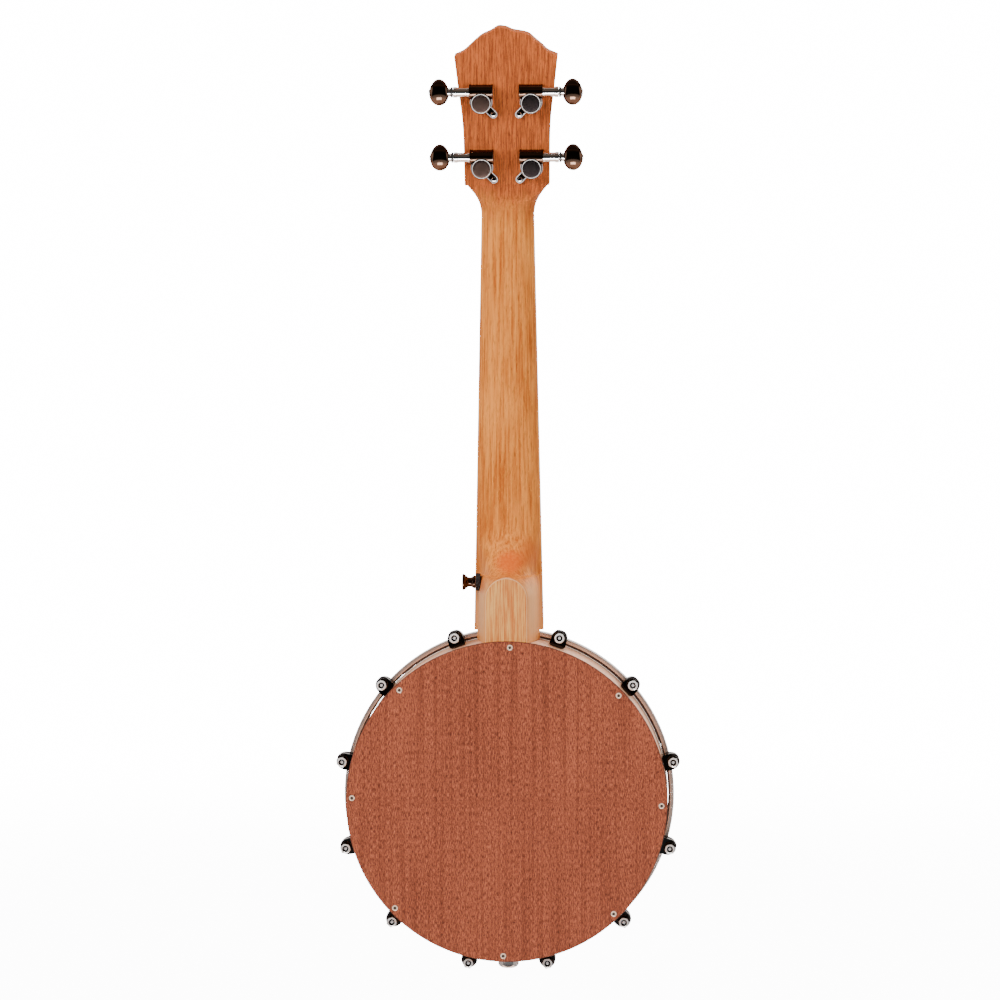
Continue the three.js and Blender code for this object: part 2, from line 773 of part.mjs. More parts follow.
function tailpiece() {
  const at = (y, z) => new THREE.Vector3(0, y, -z);
  const path = [
    at(tailFoot, tailStrapMiddle),
    at(tailJoggleStart, tailStrapMiddle),
    at(tailJoggleEnd, strapOut),
  ];
  for (let i = 0; i <= bendSteps; i += 1) {
    const turn = Math.PI / 2 * i / bendSteps;
    const level = strapOver - tailBend + tailBend * Math.sin(turn);
    path.push(at(level, strapOut - tailBend + tailBend * Math.cos(turn)));
  }
  path.push(at(strapOver + tailRise, tailReach));
  const half = tailWidth / 2;
  const thin = tailThickness / 2;
  const section = [[-half, -thin], [half, -thin], [half, thin], [-half, thin]];
  const strap = solid(sweep(path, new THREE.Vector3(1, 0, 0), section));
  const bar = solid(block(
    [-half, strapOver + tailRise - thin, -tailReach - anchorBarWidth],
    [half, strapOver + tailRise + anchorBarHeight, -tailReach],
  ));
  const rodHole = barAlongZ(rodRadius + seatGap, -strapOut - overrun, -rimRadius + overrun, roundSides);
  const stringHoles = stringOffsets(tailStringPitch).map((x) => {
    const from = -tailReach - anchorBarWidth - overrun;
    const hole = barAlongZ(anchorHoleRadius, from, -tailReach + overrun, wireSides);
    return solid(hole.translate(x, anchorLevel, 0));
  });
  return cut(joined(strap, bar), solid(rodHole.translate(0, rodAxis, 0)), ...stringHoles);
}

// Strings: from the tailpiece over the bridge and the nut, each to the side of its post
function stringOffsets(pitch) {
  return Array.from({ length: stringCount }, (_, i) => (i - (stringCount - 1) / 2) * pitch);
}

function stringPath(i) {
  const rest = stringRadius + stringRest;
  const side = i < stringCount / 2 ? -1 : 1;
  const outer = i === 0 || i === stringCount - 1;
  const postHeightUp = outer ? tunerHeights[0] : tunerHeights[1];
  const postSide = tunerSpacingHalf - windingRadius - rest;
  const end = new THREE.Vector3(side * postSide, (windingFrom + windingTo) / 2, postHeightUp);
  end.applyAxisAngle(new THREE.Vector3(1, 0, 0), headTilt).add(new THREE.Vector3(0, neckFront, nutBack));
  const x0 = stringOffsets(tailStringPitch)[i];
  const x1 = stringOffsets(bridgeStringPitch)[i];
  const x2 = stringOffsets(nutStringPitch)[i];
  return [
    new THREE.Vector3(x0, anchorLevel, -tailReach - anchorBarWidth),
    new THREE.Vector3(x0, anchorLevel, -tailReach),
    new THREE.Vector3(x1, bridgeTop + rest, bridgePlace),
    new THREE.Vector3(x2, nutTop + rest, nutFront),
    new THREE.Vector3(x2, nutTop + rest, nutBack),
    end,
  ];
}

function string(i) {
  return solid(sweep(stringPath(i), new THREE.Vector3(1, 0, 0), circlePoints(stringRadius, wireSides)));
}

// Tuner housing in the headstock's plane, its gear's axis on Y and its knob towards +X:
// a round gear case, a barrel for the worm, a tube for its shaft, a screw lug, and the
// sleeve that goes through the wood to its nut on the front. It is hollow throughout.
function tunerHousing() {
  const seat = -headThickness - seatGap;
  const front = seatGap + veneerThickness + seatGap;
  const gearCase = solid(barAlongY(gearCaseRadius, gearCaseBack, seat, roundSides));
  const barrelBlock = solid(block(
    [-wormCaseHalf, wormLevel - wormCaseRadius, 0],
    [wormCaseHalf, seat, wormOffset + wormCaseTop],
  ));
  const tube = barAlongX(shaftTubeRadius, 0, shaftTubeEnd, roundSides).translate(0, wormLevel, wormOffset);
  const lugX = -lugReach * Math.cos(lugAngle);
  const lugZ = -lugReach * Math.sin(lugAngle);
  const lug = solid(barAlongY(lugRadius, seat - lugThickness, seat, smallSides).translate(lugX, 0, lugZ));
  const lugArm = block([-lugReach, seat - lugThickness, -lugRadius], [0, seat, lugRadius]);
  const sleeve = solid(barAlongY(sleeveRadius, seat - wormCaseWall, front + bushingNutHeight, roundSides));
  const nut = solid(barAlongY(bushingNutRadius, front, front + bushingNutHeight, hexSides));
  const leaning = solid(lugArm.rotateY(-lugAngle));
  const outside = joined(gearCase, barrelBlock, solid(tube), lug, leaning, sleeve, nut);
  const gearRoom = gearThickness / 2 + runningGap;
  const gearBack = wormLevel - gearRoom;
  const gearPocket = barAlongY(gearRadius + runningGap, gearBack, wormLevel + gearRoom, roundSides);
  const sleeveEnd = front + bushingNutHeight;
  const postBore = barAlongY(postRadius + runningGap, wormLevel, sleeveEnd + overrun, smallSides);
  const innerEnd = -wormCaseHalf + wormCaseWall;
  const wormBore = barAlongX(shaftBoreRadius, innerEnd, shaftTubeEnd + overrun, smallSides);
  wormBore.translate(0, wormLevel, wormOffset);
  return cut(outside, solid(gearPocket), solid(postBore), solid(wormBore));
}

// Tuner knob with its shaft and worm; the worm is a plain bar of its pitch radius
function tunerKnob() {
  const shaftEnd = -wormCaseHalf + wormCaseWall + runningGap;
  const knobStart = shaftTubeEnd + runningGap + knobNeck;
  const shaft = solid(barAlongX(wormRadius, shaftEnd, knobStart + knobNeck, smallSides));
  const collarStart = shaftTubeEnd + runningGap;
  const collar = solid(barAlongX(knobCollarRadius, collarStart, knobStart + knobNeck, smallSides));
  const oval = new THREE.SphereGeometry(1, roundSides, knobRows);
  oval.scale(knobLength / 2, knobThickness / 2, knobWidth / 2);
  oval.translate(knobStart + knobLength / 2, 0, 0);
  return joined(shaft, collar, solid(oval));
}

// Tuner post: the gear inside the case, the post through the sleeve, and the string's turns
function tunerPost() {
  const gearHalf = gearThickness / 2;
  const gear = solid(barAlongY(gearRadius, wormLevel - gearHalf, wormLevel + gearHalf, roundSides));
  const profile = [
    [0, wormLevel],
    [postRadius, wormLevel],
    [postRadius, windingFrom],
    [windingRadius, windingFrom],
    [windingRadius, windingTo],
    [postWaistRadius, windingTo],
    [postRadius, mix(windingTo, postHeight, postWaistShare)],
    [postRadius, postHeight],
    [0, postHeight],
  ];
  return joined(gear, solid(turned(profile, smallSides)));
}

// Strap button and its felt washer, turned about X and screwed to the heel's left side
const feltFace = seatPlace + seatGap;
const buttonFace = feltFace + feltThickness + seatGap;

function strapButton() {
  const radii = [0, buttonBaseRadius, buttonBaseRadius, buttonWaistRadius, buttonWaistRadius];
  const profile = [...radii, buttonHeadRadius, buttonHeadRadius, 0].map((radius, i) => (
    [radius, buttonHeightShares[i] * buttonLength]
  ));
  const turnedButton = turned(profile, roundSides).rotateZ(Math.PI / 2);
  return solid(turnedButton.translate(-buttonFace, buttonDepth, buttonHeight));
}

function strapButtonFelt() {
  const disc = barAlongX(feltRadius, -feltFace - feltThickness, -feltFace, roundSides);
  return solid(disc.translate(0, buttonDepth, buttonHeight));
}

add('back_plate', backPlate(), plateWood);
add('rim', rim(), rimWood);
add('tone_ring', toneRing(), brass);
add('drum_head', drumHead(), skin);
add('flesh_hoop', fleshHoop(), brass);
add('tension_hoop', tensionHoop(), chrome);

hookAngles().forEach((angle, i) => {
  const shoe = add(`bracket_shoe_${number(i)}`, bracketShoe(), chrome);
  shoe.rotation.y = angle;
  const nut = add(`hook_nut_${number(i)}`, hookNut(), chrome);
  nut.position.set(hookCircle * Math.sin(angle), 0, hookCircle * Math.cos(angle));
  nut.rotation.y = angle;
});

add('coordinator_rod', coordinatorRod(), chrome);
add('rod_nut', rodNut(), chrome);
add('tailpiece', tailpiece(), chrome);
add('neck', neck(), neckWood);
add('fretboard', fretboard(), darkWood);
add('headstock_veneer', headstockVeneer(), darkWood);
add('string_nut', stringNut(), bone);
add('bridge', bridge(), bone);
add('bridge_cap', bridgeCap(), darkWood);
for (let i = 0; i < stringCount; i += 1) {
  add(`string_${i + 1}`, string(i), nylon);
}

const headstock = new THREE.Group();
headstock.position.set(0, neckFront, nutBack);
headstock.rotation.x = headTilt;
instrument.add(headstock);
tunerPlaces().forEach(([x, height], i) => {
  const side = Math.sign(x);
  const tuner = new THREE.Group();
  tuner.position.set(x, 0, height);
  tuner.scale.x = side;
  headstock.add(tuner);
  add(`tuner_housing_${i + 1}`, tunerHousing(), chrome, tuner);
  add(`tuner_post_${i + 1}`, tunerPost(), chrome, tuner);
  const knob = add(`tuner_knob_${i + 1}`, tunerKnob(), chrome, tuner);
  knob.position.set(0, wormLevel, wormOffset);
});

add('strap_button', strapButton(), chrome);
add('strap_button_felt', strapButtonFelt(), felt);

export default instrument;
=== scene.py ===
# A banjo ukulele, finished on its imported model. Sizes are millimetres in the model's own
# frame: Z runs up the neck, X to the right as seen from behind, and Y from the wooden back
# plate through the pot to the drum head on the front.
import math

import bmesh
import bpy
from mathutils import Matrix, Vector


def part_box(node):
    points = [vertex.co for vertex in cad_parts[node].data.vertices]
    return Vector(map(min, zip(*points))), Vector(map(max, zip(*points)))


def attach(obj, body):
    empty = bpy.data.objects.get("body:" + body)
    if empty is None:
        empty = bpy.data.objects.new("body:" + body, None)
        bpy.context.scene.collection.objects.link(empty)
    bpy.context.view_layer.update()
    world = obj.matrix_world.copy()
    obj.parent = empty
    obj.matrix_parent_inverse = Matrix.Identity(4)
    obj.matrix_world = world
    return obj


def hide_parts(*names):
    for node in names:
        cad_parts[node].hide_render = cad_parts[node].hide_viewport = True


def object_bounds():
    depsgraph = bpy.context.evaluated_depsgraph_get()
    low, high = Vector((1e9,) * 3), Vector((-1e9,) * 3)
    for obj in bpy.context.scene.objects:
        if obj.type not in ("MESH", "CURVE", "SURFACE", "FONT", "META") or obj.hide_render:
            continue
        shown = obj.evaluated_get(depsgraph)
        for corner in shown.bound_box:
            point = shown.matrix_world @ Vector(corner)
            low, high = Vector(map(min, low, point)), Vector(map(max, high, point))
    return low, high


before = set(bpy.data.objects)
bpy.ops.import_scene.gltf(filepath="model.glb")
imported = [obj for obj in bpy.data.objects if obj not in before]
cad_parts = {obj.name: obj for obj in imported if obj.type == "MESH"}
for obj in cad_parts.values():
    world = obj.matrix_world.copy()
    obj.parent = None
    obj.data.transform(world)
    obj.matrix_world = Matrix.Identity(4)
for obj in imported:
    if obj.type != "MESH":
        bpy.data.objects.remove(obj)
frame_box = [list(corner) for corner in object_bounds()]
mm = 0.001
scene = bpy.context.scene

# Camera: behind the instrument, a little to the right of its middle and above the pot,
# looking slightly down. Its place, drift and tilt are solved from the back plate's edge, the
# hoop's outline and the middle of the neck, which lie at different depths.
camera_place = Vector((96.98, -2627, 327.03))
camera_drift = 0.03808
camera_tilt = 0.05136
camera_roll = 0.00328
lens_length = 149.879
film_width = 36

lens = bpy.data.cameras.new("camera")
lens.lens = lens_length
lens.sensor_width = film_width
camera = bpy.data.objects.new("camera", lens)
camera.location = camera_place * mm
camera.rotation_euler = (math.radians(90) - math.atan(camera_tilt), camera_roll, math.atan(camera_drift))
scene.collection.objects.link(camera)
scene.camera = camera


# Studio: a pale floor that fades out round the instrument, soft boxes on both sides, above
# and in front, and surroundings that are plain white to look at. Polished metal mirrors a
# pale floor, a bright window low down and a dark room in them.
class Value:
    """A number, colour or vector that changes from place to place, with arithmetic on it."""

    def __init__(self, shading, socket):
        self.shading = shading
        self.socket = socket

    def sum(self, operation, first, second):
        return self.shading.node("ShaderNodeMath", {"operation": operation}, {0: first, 1: second})

    def __add__(self, other):
        return self.sum("ADD", self, other)

    def __radd__(self, other):
        return self.sum("ADD", other, self)

    def __sub__(self, other):
        return self.sum("SUBTRACT", self, other)

    def __rsub__(self, other):
        return self.sum("SUBTRACT", other, self)

    def __mul__(self, other):
        return self.sum("MULTIPLY", self, other)

    def __rmul__(self, other):
        return self.sum("MULTIPLY", other, self)

    def __pow__(self, other):
        return self.sum("POWER", self, other)


class Shading:
    """The nodes of one material, or of the studio's surroundings."""

    def __init__(self, tree):
        self.tree = tree

    def node(self, kind, settings, inputs, output=0):
        """One node with its settings made first, then its sockets given values or links."""
        made = self.tree.nodes.new(kind)
        for name, value in settings.items():
            if name == "stops":
                self.set_stops(made.color_ramp, value)
            else:
                setattr(made, name, value)
        for name, value in inputs.items():
            if isinstance(value, Value):
                self.tree.links.new(value.socket, made.inputs[name])
            else:
                made.inputs[name].default_value = value
        return Value(self, made.outputs[output])

    def set_stops(self, ramp, stops):
        while len(ramp.elements) < len(stops):
            ramp.elements.new(1)
        for element, (position, paint) in zip(ramp.elements, stops):
            element.position = position
            element.color = paint

    def blend(self, share, first, second):
        return self.node("ShaderNodeMix", {"data_type": "RGBA"}, {0: share, 6: first, 7: second}, 2)

    def step(self, value, start, end):
        """0 before start, 1 after end, and smooth between them."""
        settings = {"interpolation_type": "SMOOTHSTEP"}
        inputs = {"Value": value, "From Min": start, "From Max": end}
        return self.node("ShaderNodeMapRange", settings, inputs)

    def parts(self, vector):
        return [self.node("ShaderNodeSeparateXYZ", {}, {0: vector}, i) for i in range(3)]


def linear(level):
    share = level / 255
    return share / 12.92 if share <= 0.04045 else ((share + 0.055) / 1.055) ** 2.4


def paint(red, green, blue):
    """A colour from the three levels that a picture of it has."""
    return (linear(red), linear(green), linear(blue), 1)


def grey(share):
    return (share, share, share, 1)


class Finish(Shading):
    """One material, whose shader takes plain values and nodes by the names of its sockets."""

    def __init__(self, name):
        self.material = bpy.data.materials.new(name)
        self.material.use_nodes = True
        super().__init__(self.material.node_tree)
        self.shader = self.tree.nodes["Principled BSDF"]

    def set(self, **sockets):
        for name, value in sockets.items():
            socket = self.shader.inputs[name.replace("_", " ")]
            if isinstance(value, Value):
                self.tree.links.new(value.socket, socket)
            else:
                socket.default_value = value

    def place(self):
        """Where a point of the surface is, in metres."""
        return self.node("ShaderNodeTexCoord", {}, {}, "Object")

    def noise(self, place, sizes, detail=2, roughness=0.5):
        """Cloudy noise whose clouds have these sizes along X, Y and Z."""
        scale = [1 / (size * mm) for size in sizes]
        stretched = self.node("ShaderNodeMapping", {"vector_type": "POINT"}, {0: place, "Scale": scale})
        inputs = {"Vector": stretched, "Scale": 1, "Detail": detail, "Roughness": roughness}
        return self.node("ShaderNodeTexNoise", {}, inputs)

    def bump(self, height, depth):
        """The normal of a surface whose height changes by depth millimetres."""
        return self.node("ShaderNodeBump", {}, {"Height": height, "Distance": depth * mm})


surroundings = bpy.data.worlds.new("studio")
surroundings.use_nodes = True
scene.world = surroundings
surroundings.node_tree.nodes.clear()
studio = Shading(surroundings.node_tree)
direction = studio.node("ShaderNodeTexCoord", {}, {}, "Generated")
sideways, forward, upward = studio.parts(direction)

# What polished metal mirrors on the camera's side and on the far side, by the share of the
# way from straight down to straight up
pale_floor = (2.8, 2.1, 1.7, 1)
brown_dark = (0.09, 0.065, 0.05, 1)
warm_wall = (0.7, 0.6, 0.55, 1)
warm_light = (2, 1.85, 1.75, 1)
near_side_stops = [
    (0, pale_floor),
    (0.12, pale_floor),
    (0.20, grey(2.4)),
    (0.24, grey(1.1)),
    (0.29, grey(1.1)),
    (0.315, grey(0.03)),
    (0.60, grey(0.02)),
    (0.68, brown_dark),
    (0.73, (0.22, 0.16, 0.12, 1)),
    (0.78, brown_dark),
    (1, (0.16, 0.11, 0.08, 1)),
]
far_side_stops = [
    (0, pale_floor),
    (0.30, pale_floor),
    (0.40, warm_wall),
    (0.47, warm_wall),
    (0.50, warm_light),
    (0.60, warm_light),
    (0.68, brown_dark),
    (0.76, brown_dark),
    (0.82, (0.9, 0.75, 0.65, 1)),
]

# Where the window, the far side and the two sides begin and end, and how bright each part is
window_foot = (-0.79, -0.75)
window_head = (-0.62, -0.58)
window_side = (0.28, 0.36)
window_light = grey(30)
far_side_range = (-0.25, 0.1)
beside_range = (0.92, 0.97)
beside_light = grey(2.2)
room_light = grey(0.4)
plain_white = grey(16)

height = upward * 0.5 + 0.5
mirrored = studio.node("ShaderNodeValToRGB", {"stops": near_side_stops}, {"Fac": height})
aside = studio.node("ShaderNodeMath", {"operation": "ABSOLUTE"}, {0: sideways})
window = studio.step(upward, *window_foot) * (1 - studio.step(upward, *window_head))
window = window * (1 - studio.step(aside, *window_side))
mirrored = studio.blend(window, mirrored, window_light)
behind = studio.step(forward, *far_side_range)
far_side = studio.node("ShaderNodeValToRGB", {"stops": far_side_stops}, {"Fac": height})
mirrored = studio.blend(behind, mirrored, far_side)
beside = studio.step(aside, *beside_range)
mirrored = studio.blend(beside * (1 - behind), mirrored, beside_light)
glossy_ray = studio.node("ShaderNodeLightPath", {}, {}, "Is Glossy Ray")
camera_ray = studio.node("ShaderNodeLightPath", {}, {}, "Is Camera Ray")
around = studio.blend(glossy_ray, room_light, mirrored)
around = studio.blend(camera_ray, around, plain_white)
background = studio.node("ShaderNodeBackground", {}, {"Color": around})
world_output = surroundings.node_tree.nodes.new("ShaderNodeOutputWorld")
surroundings.node_tree.links.new(background.socket, world_output.inputs["Surface"])


# The floor: a faint disc of pale board just under the pot, thinning out to nothing at its
# edge, so that it shows no line behind the instrument.
floor_drop = 0.15
floor_radius = 1300
floor_plain_radius = 420
floor_corner_angle = 5
floor_cover = 0.2
floor_paleness = 0.94
floor_roughness = 0.9

floor_level = frame_box[0][2] / mm - floor_drop
floor_mesh = bpy.data.meshes.new("floor")
corner_turns = [math.radians(angle) for angle in range(0, 360, floor_corner_angle)]
floor_ring = [(floor_radius * math.cos(t), floor_radius * math.sin(t), floor_level) for t in corner_turns]
floor_mesh.from_pydata([Vector(point) * mm for point in floor_ring], [], [range(len(floor_ring))])
floor = bpy.data.objects.new("floor", floor_mesh)
scene.collection.objects.link(floor)
pale_board = Finish("pale_board")
x, y, z = pale_board.parts(pale_board.place())
from_middle = (x * x + y * y) ** 0.5
thinning = pale_board.step(from_middle, floor_plain_radius * mm, floor_radius * mm)
pale_board.set(Base_Color=grey(floor_paleness), Roughness=floor_roughness)
pale_board.set(Alpha=floor_cover - thinning * floor_cover)
floor_mesh.materials.append(pale_board.material)

# Soft boxes: where each stands, its width in metres and its power in watts. They light the
# instrument from all around and aren't mirrored themselves.
soft_boxes = {
    "left_box": ((-1900, -1700, 1300), 1.3, 72),
    "right_box": ((1900, -1900, 700), 1.5, 34),
    "top_box": ((200, -300, 2300), 1.6, 30),
    "front_box": ((900, 2300, 900), 1.6, 95),
}
light_aim = Vector((0, 30, 190))
for name, (where, width, power) in soft_boxes.items():
    lamp = bpy.data.lights.new(name, "AREA")
    lamp.shape = "SQUARE"
    lamp.size = width
    lamp.energy = power
    box = bpy.data.objects.new(name, lamp)
    box.visible_glossy = False
    box.location = Vector(where) * mm
    box.rotation_euler = (light_aim - Vector(where)).to_track_quat("-Z", "Y").to_euler()
    scene.collection.objects.link(box)


# Back plate: a thin disc of reddish tonewood, its grain up and down, screwed to the rim's
# back with eight small countersunk screws. Its colour darkens along its sawn edge.
plate_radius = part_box("back_plate")[1].x / mm
plate_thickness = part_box("back_plate")[1].y / mm
plate_ease = 0.5
plate_dark_edge_width = 0.8
plate_dark_edge_share = 0.85
stripe_sizes = (2, 2, 160)
stripe_range = (0.42, 0.66)
stripe_share = 0.36
pot_steps = 180
small_steps = 24
ease_steps = 3
screw_count = 8
screw_turn = math.radians(1.4)
screw_ring_inset = 3.8
screw_head_radius = 1.85
screw_head_depth = 1.3
screw_dome = 0.25
screw_dome_turns = (0, 0.35, 0.7, 1.05, 1.4)
screw_lip_shares = (0.1, 0.5)
screw_tip_share = 0.45
cross_width = 1.4
cross_length = 2.2
cross_depth = 0.9
cross_foot_share = 0.35
cross_mouth_share = 1.3
cross_shade_depth = 0.12
sink_gap = 0.22
sink_tip_share = 0.5
smear_range = (0.45, 0.8)
smear_roughness = 0.07
sharp_edge = math.radians(50)


def turned(profile, steps, ring=False):
    """Points and faces of a (radius, height) profile turned about Y, closed if it is a ring."""
    points = []
    rows = []
    for radius, height in profile:
        if radius == 0:
            rows.append([len(points)] * steps)
            points.append(Vector((0, height, 0)))
            continue
        rows.append([len(points) + i for i in range(steps)])
        for i in range(steps):
            turn = 2 * math.pi * i / steps
            points.append(Vector((radius * math.sin(turn), height, radius * math.cos(turn))))
    if ring:
        rows.append(rows[0])
    faces = []
    for low, high in zip(rows, rows[1:]):
        for i in range(steps):
            around_face = [low[i - 1], low[i], high[i], high[i - 1]]
            face = list(dict.fromkeys(around_face))
            if len(face) > 2:
                faces.append(face)
    return points, faces


def lofted(rings):
    """Points and faces of a skin over rings with equal counts, with a face over each end."""
    count = len(rings[0])
    points = [Vector(point) for ring in rings for point in ring]
    faces = []
    for r in range(len(rings) - 1):
        for i in range(count):
            j = (i + 1) % count
            faces.append([r * count + i, r * count + j, (r + 1) * count + j, (r + 1) * count + i])
    faces.append(list(range(count)))
    faces.append([(len(rings) - 1) * count + i for i in range(count)])
    return points, faces


def eased(corners, size, closed=True):
    """A flat outline with its corners rounded off over this size by short arcs."""
    outline = []
    corners = [Vector(corner) for corner in corners]
    for i, corner in enumerate(corners):
        if not closed and i in (0, len(corners) - 1):
            outline.append(corner)
            continue
        before = corners[i - 1] - corner
        after = corners[(i + 1) % len(corners)] - corner
        start = corner + before.normalized() * min(size, before.length / 2)
        end = corner + after.normalized() * min(size, after.length / 2)
        for k in range(ease_steps + 1):
            share = k / ease_steps
            outline.append(start.lerp(corner, share).lerp(corner.lerp(end, share), share))
    return outline


def make(name, form, finish):
    """An object from points and faces in millimetres, its faces all turned outwards."""
    points, faces = form
    mesh = bpy.data.meshes.new(name)
    mesh.from_pydata([point * mm for point in points], [], faces)
    shape = bmesh.new()
    shape.from_mesh(mesh)
    bmesh.ops.recalc_face_normals(shape, faces=shape.faces)
    shape.to_mesh(mesh)
    shape.free()
    mesh.materials.append(finish.material)
    made = bpy.data.objects.new(name, mesh)
    scene.collection.objects.link(made)
    return made


def placed(form, matrix):
    points, faces = form
    return [matrix @ point for point in points], faces


def together(*forms):
    """Several forms as one, whose skins stay separate."""
    points = []
    faces = []
    for more_points, more_faces in forms:
        faces.extend([corner + len(points) for corner in face] for face in more_faces)
        points.extend(more_points)
    return points, faces


def settle(piece):
    """Puts the result of a piece's modifiers into its mesh."""
    bpy.context.view_layer.update()
    shape = piece.evaluated_get(bpy.context.evaluated_depsgraph_get())
    mesh = bpy.data.meshes.new_from_object(shape)
    piece.modifiers.clear()
    piece.data = mesh


def carve(piece, form, operation="DIFFERENCE"):
    """Cuts a form out of a piece, or joins it on, as the operation says."""
    tool = make("tool", form, Finish("tool"))
    step = piece.modifiers.new("carve", "BOOLEAN")
    step.object = tool
    step.operation = operation
    step.solver = "EXACT"
    settle(piece)
    waste = tool.data
    waste_paint = waste.materials[0]
    bpy.data.objects.remove(tool)
    bpy.data.meshes.remove(waste)
    while len(piece.data.materials) > 1:
        piece.data.materials.pop()
    for face in piece.data.polygons:
        face.material_index = 0
    bpy.data.materials.remove(waste_paint)


def soften(piece, width, steps=2):
    """Rounds the sharp edges of a piece."""
    step = piece.modifiers.new("soften", "BEVEL")
    step.width = width * mm
    step.segments = steps
    step.limit_method = "ANGLE"
    step.angle_limit = sharp_edge
    step.use_clamp_overlap = True
    settle(piece)


def taken(piece):
    """The form of a piece that was made only to be placed several times, and is taken away."""
    mesh = piece.data
    form = [point.co / mm for point in mesh.vertices], [list(face.vertices) for face in mesh.polygons]
    bpy.data.objects.remove(piece)
    bpy.data.meshes.remove(mesh)
    return form


def fasten(piece, body, slot, *nodes, crease=40):
    """Smooths a finished piece, lets it ride on its body and stand for its nodes."""
    piece.data.shade_smooth()
    piece.data.set_sharp_from_angle(angle=math.radians(crease))
    even = piece.modifiers.new("even", "WEIGHTED_NORMAL")
    even.keep_sharp = True
    settle(piece)
    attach(piece, body)
    if nodes:
        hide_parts(*nodes)


# What all the wood shares: its clouds' width and length, how far its streaks, pores and pale
# dashes reach, and how much darker or paler than the wood they are
cloud_sizes = (26, 90)
streak_range = (0.36, 0.64)
pore_range = (0.52, 0.72)
pore_shade = 0.42
pore_depth = 0.04
dash_range = (0.55, 0.75)
dash_shade = 1.35
dash_share = 0.55
dash_size_shares = (0.7, 0.6)
sheen_spread = 0.14


def wood(name, pale, deep, grain, sheen, streak, fleck, flecked, clouded, wrap=None):
    """Lacquered wood: clouds, streaks along the grain and short dark pores, paler and deeper
    by their shares. Grain is the axis along the fibres; wrap gives the place on bent wood."""
    finish = Finish(name)
    place = wrap(finish) if wrap else finish.place()

    def along(size, length):
        return [length if axis == grain else size for axis in range(3)]

    clouds = finish.noise(place, along(*cloud_sizes), detail=3)
    streaks = finish.noise(place, along(*streak), detail=4, roughness=0.6)
    pores = finish.noise(place, along(*fleck), detail=2, roughness=0.6)
    dash_sizes = [size * share for size, share in zip(fleck, dash_size_shares)]
    dashes = finish.noise(place, along(*dash_sizes), detail=1)
    shade = clouds * clouded + streaks * (1 - clouded)
    colour = finish.blend(finish.step(shade, *streak_range), deep, pale)
    dark_pores = finish.step(pores, *pore_range) * flecked
    pale_dashes = finish.step(dashes, *dash_range) * flecked * dash_share
    pore_paint = tuple(level * pore_shade for level in deep[:3]) + (1,)
    dash_paint = tuple(min(level * dash_shade, 1) for level in pale[:3]) + (1,)
    colour = finish.blend(dark_pores, colour, pore_paint)
    colour = finish.blend(pale_dashes, colour, dash_paint)
    finish.set(Base_Color=colour, Roughness=sheen + (0.5 - streaks) * sheen_spread)
    finish.set(Normal=finish.bump(1 - dark_pores, pore_depth))
    finish.colour = colour
    return finish


plate_wood = wood(
    "back_plate_wood", paint(196, 105, 74), paint(99, 47, 31), grain=2, sheen=0.5,
    streak=(0.5, 3), fleck=(0.5, 2), flecked=0.95, clouded=0.1,
)
x, y, z = plate_wood.parts(plate_wood.place())
from_axis = (x * x + z * z) ** 0.5
edge_darkening = plate_wood.step(from_axis, (plate_radius - plate_dark_edge_width) * mm, plate_radius * mm)
stripes = plate_wood.step(plate_wood.noise(plate_wood.place(), stripe_sizes, detail=4), *stripe_range)
striped = plate_wood.blend(stripes * stripe_share, plate_wood.colour, paint(84, 36, 22))
plate_colour = plate_wood.blend(edge_darkening * plate_dark_edge_share, striped, paint(70, 36, 26))
plate_wood.set(Base_Color=plate_colour, Specular_IOR_Level=0.2)

plate_corners = [(0, 0), (plate_radius, 0), (plate_radius, plate_thickness), (0, plate_thickness)]
plate_profile = eased(plate_corners, plate_ease, closed=False)
plate = make("back_plate_disc", turned(plate_profile, pot_steps), plate_wood)


def screw_places():
    middle = plate_radius - screw_ring_inset
    turns = [screw_turn + 2 * math.pi * i / screw_count for i in range(screw_count)]
    return [Vector((middle * math.sin(turn), 0, middle * math.cos(turn))) for turn in turns]


def cross_recess(width, length, depth, top):
    """The recess for a cross driver, as two crossed tapered bars let in from the top."""
    bars = []
    for long_way in (0, 1):
        rings = []
        for level, share in ((top - depth, cross_foot_share), (top + depth, cross_mouth_share)):
            reach = [length / 2 * share, width / 2 * share]
            across, up = reach if long_way else reversed(reach)
            corners = [(-across, -up), (across, -up), (across, up), (-across, up)]
            rings.append([(a, level, u) for a, u in corners])
        bars.append(lofted(rings))
    return bars


def countersink(radius, depth, gap):
    mouth = radius + gap
    profile = [(0, depth), (radius * sink_tip_share, depth), (mouth, gap), (mouth, -depth), (0, -depth)]
    return turned(profile, small_steps)


def domed_screw(radius, depth, dome):
    """A countersunk screw's head, its dome towards -Y, before its recess is cut."""
    crown = [(radius * math.sin(t), -dome * math.cos(t)) for t in screw_dome_turns]
    lip = [(radius, dome * share) for share in screw_lip_shares]
    return turned(crown + lip + [(radius * screw_tip_share, depth), (0, depth)], small_steps)


chrome = Finish("chrome")
wear = chrome.noise(chrome.place(), (9, 9, 9), detail=3)
smears = chrome.noise(chrome.place(), (2.5, 2.5, 14), detail=4, roughness=0.7)
chrome.set(Base_Color=chrome.blend(wear, paint(206, 206, 208), paint(232, 232, 234)), Metallic=1)
chrome.set(Roughness=0.05 + chrome.step(smears, *smear_range) * smear_roughness)

